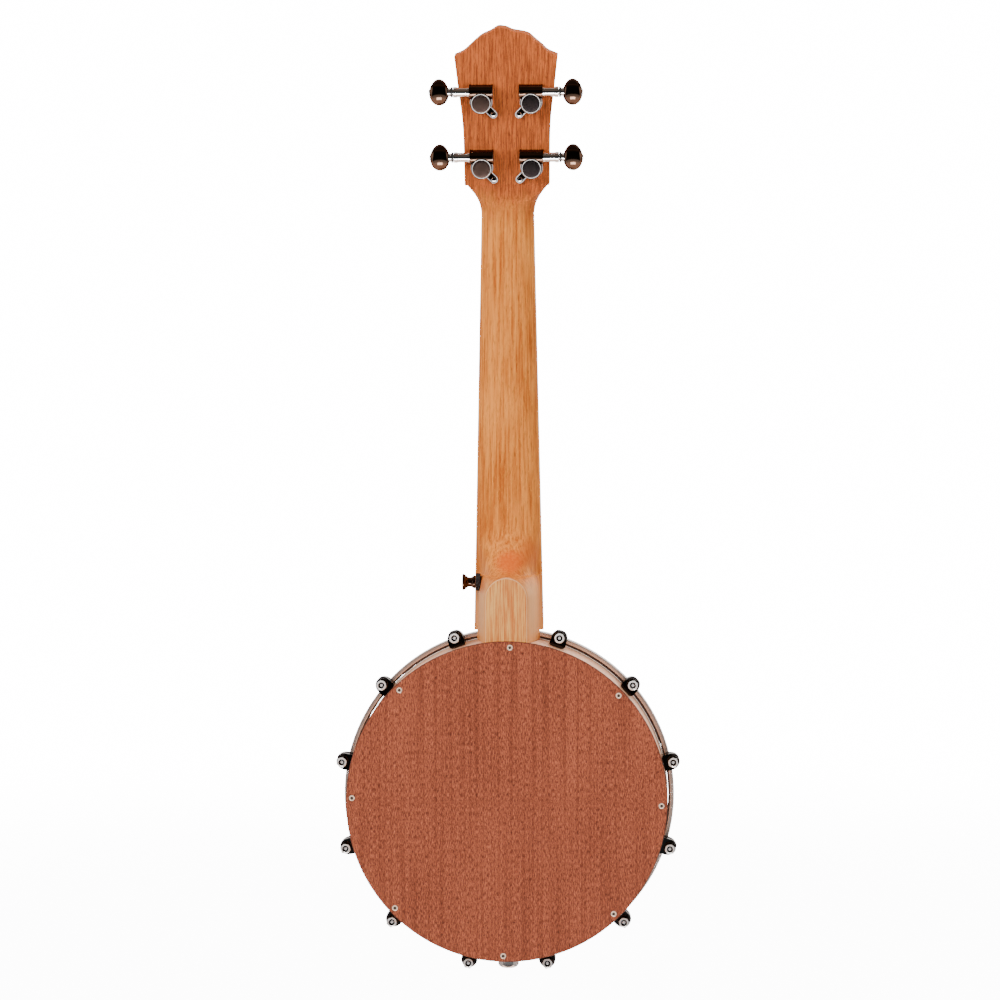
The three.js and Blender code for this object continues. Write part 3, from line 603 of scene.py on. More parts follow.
worn_nickel = Finish("worn_nickel")
worn = worn_nickel.noise(worn_nickel.place(), (1.2, 1.2, 1.2), detail=3)
worn_paint = worn_nickel.blend(worn, paint(250, 206, 176), paint(255, 224, 198))
# The cross recess below its mouth is painted dark brown as painted shade inside the recess.
recess_shade = worn_nickel.step(worn_nickel.parts(worn_nickel.place())[1], 0, cross_shade_depth * mm)
worn_nickel.set(Base_Color=worn_nickel.blend(recess_shade, worn_paint, paint(84, 70, 60)), Metallic=0.1)
worn_nickel.set(Roughness=0.34 + worn * 0.1)


def cross_screw(radius, depth, dome):
    screw = make("cross_screw", domed_screw(radius, depth, dome), chrome)
    size = radius / screw_head_radius
    for bar in cross_recess(cross_width * size, cross_length * size, cross_depth * size, -dome):
        carve(screw, bar)
    return taken(screw)


plate_screw = cross_screw(screw_head_radius, screw_head_depth, screw_dome)
sink = countersink(screw_head_radius, screw_head_depth, sink_gap)
for i, where in enumerate(screw_places()):
    carve(plate, placed(sink, Matrix.Translation(where)))
    screw = make(f"plate_screw_{i + 1}", placed(plate_screw, Matrix.Translation(where)), worn_nickel)
    fasten(screw, "instrument", "chrome", crease=30)
fasten(plate, "instrument", "back_plate_wood", "back_plate")


# Rim: a ring bent and glued up from thin layers of pale maple, lacquered, with a drilled hole
# for each shoe's bolt and for the rod. Its edges are eased, and its glue lines show on its
# back and front faces.
rim_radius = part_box("rim")[1].x / mm
rim_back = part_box("rim")[0].y / mm
rim_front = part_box("rim")[1].y / mm
rim_middle = (rim_back + rim_front) / 2
rim_half_depth = (rim_front - rim_back) / 2
rim_wall = 10
rim_inner = rim_radius - rim_wall
rim_ease = 0.8
ply_count = 5
ply_line = 0.35
ply_line_core = 0.03
ply_face_share = 0.985
glue_share = 0.5
hooks_on_a_side = 6
first_hook_angle = 18
hook_angle_step = 29.7
bolt_radius = 2
bolt_gap = 0.3
bolt_level = 28.15
rod_radius = 3
rod_level = 27
hole_overrun = 2

side_angles = [math.radians(first_hook_angle + hook_angle_step * i) for i in range(hooks_on_a_side)]
hook_angles = side_angles + [-angle for angle in reversed(side_angles)]


def round_the_rim(finish):
    """A place in bent wood: across the layers, across the ring's depth, and along the bend."""
    x, y, z = finish.parts(finish.place())
    turn = finish.node("ShaderNodeMath", {"operation": "ARCTAN2"}, {0: x, 1: 0 - z})
    radius = (x * x + z * z) ** 0.5
    return finish.node("ShaderNodeCombineXYZ", {}, {0: radius, 1: y, 2: turn * (rim_radius * mm)})


rim_wood = wood(
    "rim_wood", paint(250, 190, 152), paint(232, 168, 128), grain=2, sheen=0.4,
    streak=(2.6, 90), fleck=(0.7, 6), flecked=0.22, clouded=0.5, wrap=round_the_rim,
)
x, y, z = rim_wood.parts(rim_wood.place())
depth_in_ply = ((x * x + z * z) ** 0.5 - rim_inner * mm) * (ply_count / (rim_wall * mm))
ply_place = rim_wood.node("ShaderNodeMath", {"operation": "FRACT"}, {0: depth_in_ply})
glue_line = 1 - rim_wood.step(ply_place, ply_line_core, ply_line / 2)
from_rim_middle = rim_wood.node("ShaderNodeMath", {"operation": "ABSOLUTE"}, {0: y - rim_middle * mm})
on_a_face = rim_wood.step(from_rim_middle, rim_half_depth * mm * ply_face_share, rim_half_depth * mm)
glued_colour = rim_wood.blend(glue_line * on_a_face * glue_share, rim_wood.colour, paint(120, 74, 48))
rim_wood.set(Base_Color=glued_colour, Specular_IOR_Level=0.25)


def bar_along_z(radius, start, end, steps=small_steps):
    """A round bar along Z, from one height to another."""
    rings = []
    for height in (start, end):
        turns = [2 * math.pi * i / steps for i in range(steps)]
        rings.append([(radius * math.cos(t), radius * math.sin(t), height) for t in turns])
    return lofted(rings)


rim_corners = [
    (rim_inner, rim_back),
    (rim_radius, rim_back),
    (rim_radius, rim_front),
    (rim_inner, rim_front),
]
rim = make("rim_ring", turned(eased(rim_corners, rim_ease), pot_steps, ring=True), rim_wood)
hole = bar_along_z(bolt_radius + bolt_gap, rim_inner - hole_overrun, rim_radius + hole_overrun)
hole = placed(hole, Matrix.Translation((0, bolt_level, 0)))
holes = [placed(hole, Matrix.Rotation(angle, 4, "Y")) for angle in hook_angles]
rod_hole = bar_along_z(rod_radius + bolt_gap, -rim_radius - hole_overrun, rim_radius + hole_overrun)
carve(rim, together(*holes, placed(rod_hole, Matrix.Translation((0, rod_level, 0)))))
fasten(rim, "instrument", "rim_wood", "rim")

# Tone ring, flesh hoop and coordinator rod: a turned brass ring, a steel hoop painted dark
# brown as the shade in the gap between the rim and the tension hoop, and a plated rod inside
# the pot, which only need their finish, because the rim, the plate and the head hide them.
tone_brass = Finish("tone_brass")
lathe_marks = tone_brass.noise(tone_brass.place(), (0.6, 0.25, 0.6), detail=2)
tarnish = tone_brass.noise(tone_brass.place(), (12, 12, 12), detail=3)
tone_brass.set(Base_Color=tone_brass.blend(tarnish, paint(196, 160, 92), paint(168, 130, 70)), Metallic=1)
tone_brass.set(Roughness=0.22 + tarnish * 0.2, Normal=tone_brass.bump(lathe_marks, 0.01))


def plain_finish(name, sizes, first, second, metal, smooth, spread, detail=3, **more):
    """A plating, steel or cord that varies softly between two paints, its roughness too."""
    finish = Finish(name)
    marks = finish.noise(finish.place(), sizes, detail=detail)
    finish.set(Base_Color=finish.blend(marks, first, second), Metallic=metal)
    finish.set(Roughness=smooth + marks * spread, **more)
    return finish


# The flesh hoop is dark brown as painted shade in the gap between the rim and the tension hoop.
painted_shade_steel = plain_finish(
    "painted_shade_steel", (6, 6, 6), paint(52, 34, 28), paint(84, 62, 52), metal=0, smooth=0.5, spread=0.2,
)
for node, finish in (("tone_ring", tone_brass), ("flesh_hoop", painted_shade_steel), ("coordinator_rod", chrome)):
    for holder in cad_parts[node].material_slots:
        holder.material = finish.material

# Drum head: a coated film stretched over the tone ring, off-white and slightly rough, with a
# collar that is pressed down round the ring to the flesh hoop.
head_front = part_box("drum_head")[1].y / mm
head_film = 0.5
collar_inner = 101.9
collar_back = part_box("drum_head")[0].y / mm
crown_radius = 3
crown_steps = 8

head_skin = Finish("head_skin")
coating = head_skin.noise(head_skin.place(), (0.8, 0.8, 0.8), detail=3, roughness=0.7)
handling = head_skin.noise(head_skin.place(), (45, 45, 45), detail=3)
head_skin.set(Base_Color=head_skin.blend(handling, paint(250, 243, 234), paint(240, 230, 217)))
head_skin.set(Roughness=0.5 + coating * 0.2, Normal=head_skin.bump(coating, 0.02))


def crown(radius):
    """The head's bend over the tone ring, from its side to its front."""
    middle = collar_inner - crown_radius
    turns = [math.pi / 2 * i / crown_steps for i in range(crown_steps + 1)]
    level = head_front - head_film - crown_radius
    return [(middle + radius * math.cos(t), level + radius * math.sin(t)) for t in turns]


film = [(0, head_front)] + crown(crown_radius + head_film)[::-1]
film += [(collar_inner + head_film, collar_back), (collar_inner, collar_back)]
film += crown(crown_radius) + [(0, head_front - head_film)]
head = make("stretched_head", turned(film, pot_steps), head_skin)
fasten(head, "instrument", "head_skin", "drum_head", crease=60)

# Tension hoop: a rolled and plated steel band whose inner shelf pulls the head down. It is
# polished all over, and its front edge is rounded for the hooks.
hoop_radius = 106.4
hoop_wall = 2.6
hoop_front = 57.5
hoop_back = 46
hoop_shelf_depth = 7.2
hoop_shelf_inner = 103
hoop_ease = 0.45

shelf_back = hoop_front - hoop_shelf_depth
band = [
    (hoop_shelf_inner, shelf_back),
    (hoop_radius - hoop_wall, shelf_back),
    (hoop_radius - hoop_wall, hoop_back),
    (hoop_radius, hoop_back),
    (hoop_radius, hoop_front),
    (hoop_shelf_inner, hoop_front),
]
hoop_plating = plain_finish(
    "hoop_plating", (14, 14, 14), paint(236, 218, 210), paint(250, 240, 234),
    metal=0.8, smooth=0.2, spread=0.08,
)
hoop = make("hoop_band", turned(eased(band, hoop_ease), pot_steps, ring=True), hoop_plating)
fasten(hoop, "hoop_and_hooks", "chrome", "tension_hoop", crease=50)

# Hooks: twelve lengths of plated wire, each bent over the hoop's front edge at one end and
# threaded at the other, where its nut takes hold behind the bracket shoe. The thread is painted
# dark as shade inside the nut, and the end of the wire is painted white as a highlight.
hook_circle = 108.4
hook_radius = 1.75
hook_bend = 2.2
hook_tip_depth = 2
hook_end = 14.6
hook_sides = 16
bend_steps = 12
thread_end = 44
thread_pitch = 0.7
thread_depth = 0.22
steps_in_pitch = 4
hook_end_shares = (0.35, 0.62, 0.78, 0.86)
thread_shade_fade = 3
end_highlight_depths = (0.08, 0.2)


def swept(path, radii, sides, lean=Vector((1, 0, 0))):
    """A round bar along a path; radii gives its radius at each point and share of a turn."""
    rings = []
    for i, point in enumerate(path):
        before = path[max(i - 1, 0)]
        after = path[min(i + 1, len(path) - 1)]
        along = (after - before).normalized()
        side = (lean - along * lean.dot(along)).normalized()
        up = along.cross(side)
        ring_points = []
        for k in range(sides):
            turn = 2 * math.pi * k / sides
            radius = radii(i, k / sides)
            ring_points.append(point + side * radius * math.cos(turn) + up * radius * math.sin(turn))
        rings.append(ring_points)
    return lofted(rings)


def hook_form():
    thread_points = round((thread_end - hook_end) / thread_pitch * steps_in_pitch)
    step = (thread_end - hook_end) / thread_points
    path = [Vector((0, hook_end + i * step, hook_circle)) for i in range(thread_points + 1)]
    middle = hook_circle - hook_bend
    for i in range(bend_steps + 1):
        turn = math.pi * i / bend_steps
        level = hoop_front + hook_bend * math.sin(turn)
        path.append(Vector((0, level, middle + hook_bend * math.cos(turn))))
    path.append(Vector((0, hoop_front - hook_tip_depth, middle - hook_bend)))

    def radius(i, share):
        if i > thread_points:
            return hook_radius
        if i < len(hook_end_shares):
            return hook_radius * hook_end_shares[i]
        place_in_pitch = (i / steps_in_pitch + share) % 1
        return hook_radius - thread_depth * (1 - abs(2 * place_in_pitch - 1))

    return swept(path, radius, hook_sides)


hook_wire = Finish("hook_wire")
wire_level = hook_wire.parts(hook_wire.place())[1]
wire_wear = hook_wire.noise(hook_wire.place(), (3, 3, 3), detail=3)
# The thread is painted dark as shade inside the nut and shoe, and the tip is painted white and not metallic
# as a painted highlight.
plated_past_shade = hook_wire.step(wire_level, (thread_end - thread_shade_fade) * mm, (thread_end + thread_shade_fade) * mm)
wire_paint_and_shade = hook_wire.blend(plated_past_shade, paint(60, 54, 50), paint(222, 222, 224))
end_highlight = hook_wire.step(wire_level, *[(hook_end + depth) * mm for depth in end_highlight_depths])
hook_wire.set(Base_Color=hook_wire.blend(end_highlight, grey(1), wire_paint_and_shade), Metallic=end_highlight)
hook_wire.set(Roughness=0.08 + wire_wear * 0.1)
for i, angle in enumerate(hook_angles):
    hook = make(f"hook_{i + 1:02d}", placed(hook_form(), Matrix.Rotation(angle, 4, "Y")), hook_wire)
    fasten(hook, "hoop_and_hooks", "chrome", crease=50)

# Bracket shoes: twelve small castings, plated black and bolted to the rim's side. The nose of
# each is drawn in round the hole for its hook, and a domed bolt head holds it inside the pot.
shoe_seat = 101.9
shoe_back = 21.3
shoe_front = 35
shoe_half = 5.2
shoe_shoulder = 8
shoe_reach = 10.6
shoe_crest = 2.7
shoe_waist = 0.4
shoe_crown = 2.4
shoe_corner = 1.6
shoe_ease = 0.7
shoe_levels = 14
bolt_head_radius = 4.2
bolt_head_height = 2.4
bolt_dome_shares = ((0, 1), (0.6, 0.85), (1, 0.35), (1, 0))
bore_overrun = 1
round_steps = 32


def shoe_outline(narrower, shorter):
    half = shoe_half - narrower
    reach = shoe_seat + shoe_reach - shorter
    shoulder = shoe_seat + shoe_shoulder - shorter
    crest = shoe_crest - narrower / 2
    right = [(half, shoe_seat), (half, shoulder), (crest, reach)]
    left = [(-crest, reach), (-half, shoulder)]
    return eased([(-half, shoe_seat)] + right + left, shoe_corner)


def shoe_form():
    """The casting: full at both ends of the hook's hole, drawn in between them."""
    rings = []
    for i in range(shoe_levels + 1):
        share = i / shoe_levels
        drawn_in = shoe_waist * math.sin(math.pi * share) ** 2
        level = shoe_back + (shoe_front - shoe_back) * share
        crown_fall = shoe_crown * (1 - math.sqrt(1 - (1 - 2 * share) ** 2))
        rings.append([(x, level, z) for x, z in shoe_outline(drawn_in, crown_fall)])
    return lofted(rings)


def bar_along_y(radius, start, end, steps=round_steps):
    """A round bar along Y, from one depth to another."""
    return turned([(0, start), (radius, start), (radius, end), (0, end)], steps)


black_plating = plain_finish(
    "black_plating", (4, 4, 4), grey(0.022), grey(0.045),
    metal=1, smooth=0.08, spread=0.06, Specular_Tint=grey(0.4),
)

bolt_end = rim_inner - bolt_gap
bolt = bar_along_z(bolt_radius, bolt_end - bolt_head_height / 2, shoe_seat + bolt_gap)
bolt_dome = [(bolt_head_radius * across, -bolt_head_height * up) for across, up in bolt_dome_shares]
dome = turned(bolt_dome + [(0, 0)], small_steps)
dome = placed(dome, Matrix.Translation((0, 0, bolt_end)) @ Matrix.Rotation(math.radians(90), 4, "X"))
bore_ends = (shoe_back - bore_overrun, shoe_front + bore_overrun)
hook_bore = bar_along_y(hook_radius + bolt_gap, *bore_ends, small_steps)
casting = make("casting", shoe_form(), chrome)
carve(casting, placed(hook_bore, Matrix.Translation((0, 0, hook_circle))))
soften(casting, shoe_ease, steps=3)
for form in (bolt, dome):
    carve(casting, placed(form, Matrix.Translation((0, bolt_level, 0))), "UNION")
shoe_casting = taken(casting)
for i, angle in enumerate(hook_angles):
    shoe = make(f"shoe_{i + 1:02d}", placed(shoe_casting, Matrix.Rotation(angle, 4, "Y")), black_plating)
    fasten(shoe, "instrument", "chrome", f"bracket_shoe_{i + 1:02d}", crease=45)

# Hook nuts: twelve long hexagon nuts with a round flange that bears on the shoe. Each is
# chamfered at its end face, which is painted white as a highlight, dark along its sides and
# threaded through, and turns as the hoop is pulled down or let go.
nut_front = 21
nut_length = 8
nut_corner = 3.5
nut_flange = 3.9
nut_flange_height = 1
nut_flange_chamfer = 0.3
nut_end_radius = 3.1
nut_end_slope = 0.34
nut_chamfer = 0.75
nut_bore = 2.05
nut_bore_flare = 0.2
nut_highlight_to = 13.25
nut_highlight_fade = 0.3
nut_highlight_metal = 0.1
seat_overlap = 0.05


def slab(outline, back, front):
    """A plate with this outline in X and Z, from one depth to another."""
    return lofted([[(x, level, z) for x, z in outline] for level in (back, front)])


def hexagon(radius, back, front):
    turns = [math.radians(angle) for angle in range(0, 360, 60)]
    return slab([(radius * math.cos(t), radius * math.sin(t)) for t in turns], back, front)


def nut_form_parts():
    """The barrel with its chamfered end, the flange, and the bore flared at its mouth."""
    back = nut_front - nut_length
    past_corner = nut_corner + seat_overlap
    barrel = [
        (0, back), (nut_bore, back), (nut_end_radius, back + nut_end_slope),
        (past_corner, back + nut_chamfer), (past_corner, nut_front), (0, nut_front),
    ]
    seat = nut_front - nut_flange_height
    flange = [
        (0, seat), (nut_flange - nut_flange_chamfer, seat), (nut_flange, seat + nut_flange_chamfer),
        (nut_flange, nut_front), (0, nut_front),
    ]
    mouth = nut_bore + nut_bore_flare
    bore = [
        (0, back - hole_overrun), (mouth, back - hole_overrun), (mouth, back),
        (nut_bore, back + nut_bore_flare), (nut_bore, nut_front + hole_overrun),
        (0, nut_front + hole_overrun),
    ]
    return [turned(profile, round_steps) for profile in (barrel, flange, bore)]


nut_plating = Finish("nut_plating")
nut_wear = nut_plating.noise(nut_plating.place(), (1.5, 1.5, 1.5), detail=3)
nut_level = nut_plating.parts(nut_plating.place())[1]
# The end face is near white and barely metallic, a painted highlight in place of the plating's bright
# reflection.
past_face = nut_plating.step(nut_level, nut_highlight_to * mm, (nut_highlight_to + nut_highlight_fade) * mm)
nut_face_highlight = nut_plating.blend(nut_wear, paint(246, 240, 236), paint(255, 253, 250))
nut_paint = nut_plating.blend(past_face, nut_face_highlight, paint(60, 52, 48))
nut_plating.set(Base_Color=nut_paint, Metallic=nut_highlight_metal + past_face * (1 - nut_highlight_metal))
nut_plating.set(Roughness=0.12 + nut_wear * 0.1)

barrel, flange, bore = nut_form_parts()
long_nut = make("long_nut", hexagon(nut_corner, nut_front - nut_length, nut_front), chrome)
carve(long_nut, barrel, "INTERSECT")
carve(long_nut, flange, "UNION")
carve(long_nut, bore)
long_nut = taken(long_nut)
for i, angle in enumerate(hook_angles):
    body = f"nut_{i + 1:02d}"
    where = Matrix.Rotation(angle, 4, "Y") @ Matrix.Translation((0, 0, hook_circle))
    hook_nut = make(f"long_{body}", placed(long_nut, where), nut_plating)
    fasten(hook_nut, body, "chrome", f"hook_{body}", crease=35)

# Rod nut and tailpiece at the pot's lower end: a plated cap nut on the coordinator rod clamps
# the tailpiece, a strap bent forward past the hoop to the bar that the strings are tied to.
rod_nut_seat = -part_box("rod_nut")[1].z / mm
rod_nut_length = 6.5
rod_nut_corner = 6.6
rod_nut_dome = 1.6
rod_nut_base = 5.2
rod_nut_chamfer = 0.5
rod_nut_crown_height = 2.6
rod_nut_crown = ((0.8, 1.4), (2.4, 0.4))
tail_half = 10
tail_thickness = 1.5
tail_foot = 17
tail_joggle = (37, 43.5)
tail_strap_level = 102.65
tail_over_clearance = 0.5
hoop_travel = 1.4
tail_out_gap = 0.6
tail_bend = 2
tail_bend_steps = 8
tail_rise = 1.2
tail_reach = 84
tail_section_ease = 0.4
tail_edge = 0.25
bar_height = 3
bar_width = 3
bar_hole_radius = 0.8
tail_string_pitch = 4.8
string_count = 4
hole_steps = 16

past_cap_corner = rod_nut_corner + seat_overlap
cap_profile = [(0, 0), (rod_nut_base, 0), (past_cap_corner, rod_nut_chamfer)]
cap_profile.append((past_cap_corner, rod_nut_length - rod_nut_crown_height))
cap_profile += [(rod_nut_corner - inset, rod_nut_length - drop) for inset, drop in rod_nut_crown]
cap_profile.append((0, rod_nut_length))
cap_nut = make("rod_cap_nut", hexagon(rod_nut_corner, 0, rod_nut_length), chrome)
carve(cap_nut, turned(cap_profile, round_steps), "INTERSECT")
cap_bore_end = rod_nut_length - rod_nut_dome
carve(cap_nut, bar_along_y(rod_radius + bolt_gap, -bore_overrun, cap_bore_end, small_steps))
dome_down = Matrix.Rotation(math.radians(-90), 4, "X")
cap_nut.data.transform(Matrix.Translation((0, rod_level * mm, -rod_nut_seat * mm)) @ dome_down)
fasten(cap_nut, "instrument", "chrome", "rod_nut", crease=35)

strap_over = hoop_front + hoop_travel + tail_over_clearance + tail_thickness / 2
strap_out = hoop_radius + tail_out_gap + tail_thickness / 2


def strap_path():
    """The strap's middle line: from its foot, out past the hoop and over it to the bar."""
    path = [(tail_foot, tail_strap_level), (tail_joggle[0], tail_strap_level), (tail_joggle[1], strap_out)]
    for i in range(tail_bend_steps + 1):
        turn = math.pi / 2 * i / tail_bend_steps
        level = strap_over - tail_bend + tail_bend * math.sin(turn)
        path.append((level, strap_out - tail_bend + tail_bend * math.cos(turn)))
    path.append((strap_over + tail_rise, tail_reach))
    return [Vector((0, y, -z)) for y, z in path]


def strap_form():
    rings = []
    path = strap_path()
    half = tail_thickness / 2
    corners = [(-tail_half, -half), (tail_half, -half), (tail_half, half), (-tail_half, half)]
    section = eased(corners, tail_section_ease)
    for i, point in enumerate(path):
        along = (path[min(i + 1, len(path) - 1)] - path[max(i - 1, 0)]).normalized()
        side = Vector((1, 0, 0))
        up = along.cross(side)
        rings.append([point + side * s + up * u for s, u in section])
    return lofted(rings)


def block(low, high):
    corners = [(low[0], low[1]), (high[0], low[1]), (high[0], high[1]), (low[0], high[1])]
    return lofted([[(x, y, z) for x, y in corners] for z in (low[2], high[2])])


def string_offsets(pitch):
    return [(i - (string_count - 1) / 2) * pitch for i in range(string_count)]


bar_back = strap_over + tail_rise - tail_thickness / 2
bar_front = strap_over + tail_rise + bar_height
bar_end = -tail_reach - bar_width
anchor_level = strap_over + tail_rise + bar_height / 2
strap = make("tailpiece_strap", strap_form(), chrome)
carve(strap, block((-tail_half, bar_back, bar_end), (tail_half, bar_front, -tail_reach)), "UNION")
rod_way = bar_along_z(rod_radius + bolt_gap, -strap_out - hole_overrun, -rim_radius + hole_overrun)
carve(strap, placed(rod_way, Matrix.Translation((0, rod_level, 0))))
string_hole = bar_along_z(bar_hole_radius, bar_end - hole_overrun, -tail_reach + hole_overrun, hole_steps)
string_holes = [placed(string_hole, Matrix.Translation((x, anchor_level, 0)))
                for x in string_offsets(tail_string_pitch)]
carve(strap, together(*string_holes))
soften(strap, tail_edge)
fasten(strap, "instrument", "chrome", "tailpiece", crease=40)


# Neck: heel, neck and headstock carved from one piece of lacquered wood. It is golden up to
# the nut and redder on the headstock, which leans back; the heel's end is hollowed to fit
# round the pot, notched for the hoop and bored for the rod.
neck_front = 58
neck_pot_half = 22.25
neck_nut_half = 16.9
neck_pot_end = 107.9
nut_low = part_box("string_nut")[0].z / mm
nut_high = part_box("string_nut")[1].z / mm
neck_side_height = 6
neck_back_at_heel = 39.5
neck_back_at_nut = 42.5
neck_face_shares = (0.5, 0.94)
keel_share = 0.5
heel_back = 4
heel_cap_half = 13
heel_cap_top = 141.7
heel_sweep_end = 174.5
keel_flat = 1
heel_shoulder_share = 0.8
heel_bulge_share = 0.65
heel_flare_share = 12
heel_edge = 0.35
head_tilt = math.radians(10)
head_thickness = 12
head_half = 33
head_shoulder = 103.2
crest_height = 18.1
flare_end = 20.1
flare_overrun = 1.25
head_blend_share = 0.7
blend_inset = 0.15
head_ease = 0.7
rod_in_heel = 20
hoop_notch_gap = 0.6
button_level = 137.4
button_depth = 38
button_seat_cut = 0.4
button_seat_radius = 6
tuner_side = 15.9
tuner_heights = (31.9, 73.7)
sleeve_radius = 4.7
sleeve_gap = 0.3
curve_steps = 4
heel_steps = 6
arc_steps = 16
plain_steps = 12
flare_steps = 22
ring_steps = 26
ring_crowding = 1.7

# The headstock's outline as shares of its half width: the flare, the side and the crest
flare_shares = [(0, 0.515), (0.13, 0.523), (0.35, 0.553), (0.57, 0.618), (0.78, 0.709), (1, 0.824)]
side_shares = [(0, 0.824), (0.33, 0.832), (0.5, 0.852), (0.64, 0.89), (0.76, 0.93), (0.9, 0.97), (1, 1)]
crest_shares = [
    (1, 0), (0.81, 0.156), (0.7, 0.34), (0.56, 0.557), (0.413, 0.766), (0.138, 0.87), (0.05, 0.94),
    (-0.03, 0.985), (-0.157, 1), (-0.284, 0.86), (-0.452, 0.72), (-0.579, 0.547), (-0.677, 0.38),
    (-0.831, 0.14), (-1, 0),
]


def mix(start, end, share):
    return start + (end - start) * share


def smooth(start, end, value):
    share = min(max((value - start) / (end - start), 0), 1)
    return share * share * (3 - 2 * share)


def flowing(points):
    """A smooth line through flat points, with a few steps between each two."""
    line = []
    for i in range(len(points) - 1):
        p0, p1, p2, p3 = (points[min(max(i + k, 0), len(points) - 1)] for k in (-1, 0, 1, 2))
        for s in range(curve_steps):
            t = s / curve_steps
            weights = (
                (-t + 2 * t ** 2 - t ** 3) / 2,
                (2 - 5 * t ** 2 + 3 * t ** 3) / 2,
                (t + 4 * t ** 2 - 3 * t ** 3) / 2,
                (-t ** 2 + t ** 3) / 2,
            )
            line.append(tuple(sum(w * p[k] for w, p in zip(weights, (p0, p1, p2, p3))) for k in (0, 1)))
    return line + [tuple(points[-1])]


flare_line = flowing([(v * flare_end, half * head_half) for v, half in flare_shares])
side_line = flowing([(mix(flare_end, head_shoulder, v), half * head_half) for v, half in side_shares])
crest_line = flowing([(x * head_half, head_shoulder + v * crest_height) for x, v in crest_shares])


def flare_half(v):
    """The headstock's half width at this distance up from the nut, within the flare."""
    for (v0, half0), (v1, half1) in zip(flare_line, flare_line[1:]):
        if v <= v1:
            return mix(half0, half1, (v - v0) / (v1 - v0))
    return flare_line[-1][1]


def headstock_outline(start):
    right = [(half, v) for v, half in flare_line if v > start] + [(half, v) for v, half in side_line[1:-1]]
    right.insert(0, (flare_half(start), start))
    left = [(-half, v) for half, v in reversed(right)]
    return right + crest_line + left


headstock_place = Matrix.Translation((0, neck_front, nut_high)) @ Matrix.Rotation(head_tilt, 4, "X")
arch_start = heel_cap_top - heel_cap_half


def neck_half(z):
    return mix(neck_pot_half, neck_nut_half, (z - neck_pot_end) / (nut_low - neck_pot_end))


def neck_section(z):
    """Front, side and back levels at a height, half widths of face and keel, and roundness."""
    past_nut = z - nut_high
    back_share = max((z - heel_sweep_end) / (nut_low - heel_sweep_end), 0)
    neck_back = mix(neck_back_at_heel, neck_back_at_nut, back_share)
    if past_nut > 0:
        face = neck_front - past_nut * math.tan(head_tilt)
        back = face - head_thickness / math.cos(head_tilt)
        half = flare_half(past_nut / math.cos(head_tilt)) - blend_inset
        flat_share = smooth(0, head_blend_share * flare_end, past_nut)
        side = mix(neck_front - neck_side_height, face - neck_side_height, flat_share)
        back = mix(neck_back_at_nut, back + blend_inset, flat_share)
        return face - blend_inset, side, back, half, mix(keel_flat, half, flat_share), 1
    sweep = min(max((z - heel_cap_top) / (heel_sweep_end - heel_cap_top), 0), 1)
    rise = math.sqrt(1 - (1 - sweep) ** 2)
    arch = min(max((z - arch_start) / heel_cap_half, 0), 1)
    half = neck_half(z)
    flat = max(heel_cap_half * math.sqrt(1 - arch ** 2), keel_flat)
    back = mix(heel_back, neck_back, rise)
    return neck_front, neck_front - neck_side_height, back, half, flat, smooth(arch_start, heel_sweep_end, z)


def side_shape(level, roundness):
    """How far the neck's side stands out at a share of its depth: from a heel's to a round one."""
    shoulder = heel_shoulder_share * level ** heel_bulge_share
    flare = (1 - heel_shoulder_share) * level ** heel_flare_share
    return mix(shoulder + flare, math.sqrt(max(1 - (1 - level) ** 2, 0)), roundness)


def neck_ring(z):
    front, side, back, half, flat, roundness = neck_section(z)
    right = [(half * share, front) for share in neck_face_shares] + [(half, front - heel_edge)]
    for i in range(ring_steps + 1):
        level = (1 - i / ring_steps) ** ring_crowding
        right.append((mix(flat, half, side_shape(level, roundness)), mix(back, side, level)))
    right.append((flat * keel_share, back))
    left = [(-x, y) for x, y in reversed(right)]
    return [(x, y, z) for x, y in right + left]


def neck_heights():
    """The heights of the neck's rings, which are closer where its shape changes faster."""
    arc = [math.pi / 2 * (i + 1) / arc_steps for i in range(arc_steps)]
    heel = [mix(rim_radius - hole_overrun, arch_start, i / heel_steps) for i in range(heel_steps + 1)]
    arch = [arch_start + heel_cap_half * math.sin(turn) for turn in arc]
    sweep = [mix(heel_cap_top, heel_sweep_end, 1 - math.cos(turn)) for turn in arc]
    plain = [mix(heel_sweep_end, nut_low, (i + 1) / plain_steps) for i in range(plain_steps)]
    flare = [nut_high + flare_end * flare_overrun * i / flare_steps for i in range(flare_steps + 1)]
    return heel + arch + sweep + plain + flare


def tuner_places():
    return [(side * tuner_side, height) for height in tuner_heights for side in (-1, 1)]


def sleeve_holes(back, front):
    holes = []
    for x, height in tuner_places():
        bar = bar_along_y(sleeve_radius + sleeve_gap, back, front)
        holes.append(placed(bar, headstock_place @ Matrix.Translation((x, 0, height))))
    return holes


# The neck's paints: the height over which gold turns red and how far that line wanders, the
# grain of the red wood, the painted sheen on the heel's flanks, the painted highlight along the
# arris and the orange and brown patches round the heel's cap
red_range = (nut_low - 6, nut_high + 18)
red_wander = 26
wander_sizes = (14, 14, 22)
red_streak_sizes = (0.8, 0.8, 14)
red_streak_range = (0.34, 0.66)
red_pore_sizes = (0.5, 0.5, 3.5)
red_pore_range = (0.55, 0.72)
red_pore_share = 0.6
cap_streak_sizes = (0.6, 6, 22)
cap_streak_range = (0.36, 0.66)
cap_line = 0.4
arris_highlight_end = (0.2, 0.7)
arris_highlight_share = 0.6
flank_sheen_start = (0.4, 1.2)
flank_sheen_end = (3, 9)
flank_sheen_top = (heel_cap_top - 10, heel_cap_top + 1)
flank_sheen_share = 0.75
heel_back_range = (heel_back + 4, heel_back + 16)
patch_range = (0.35, 1.1)
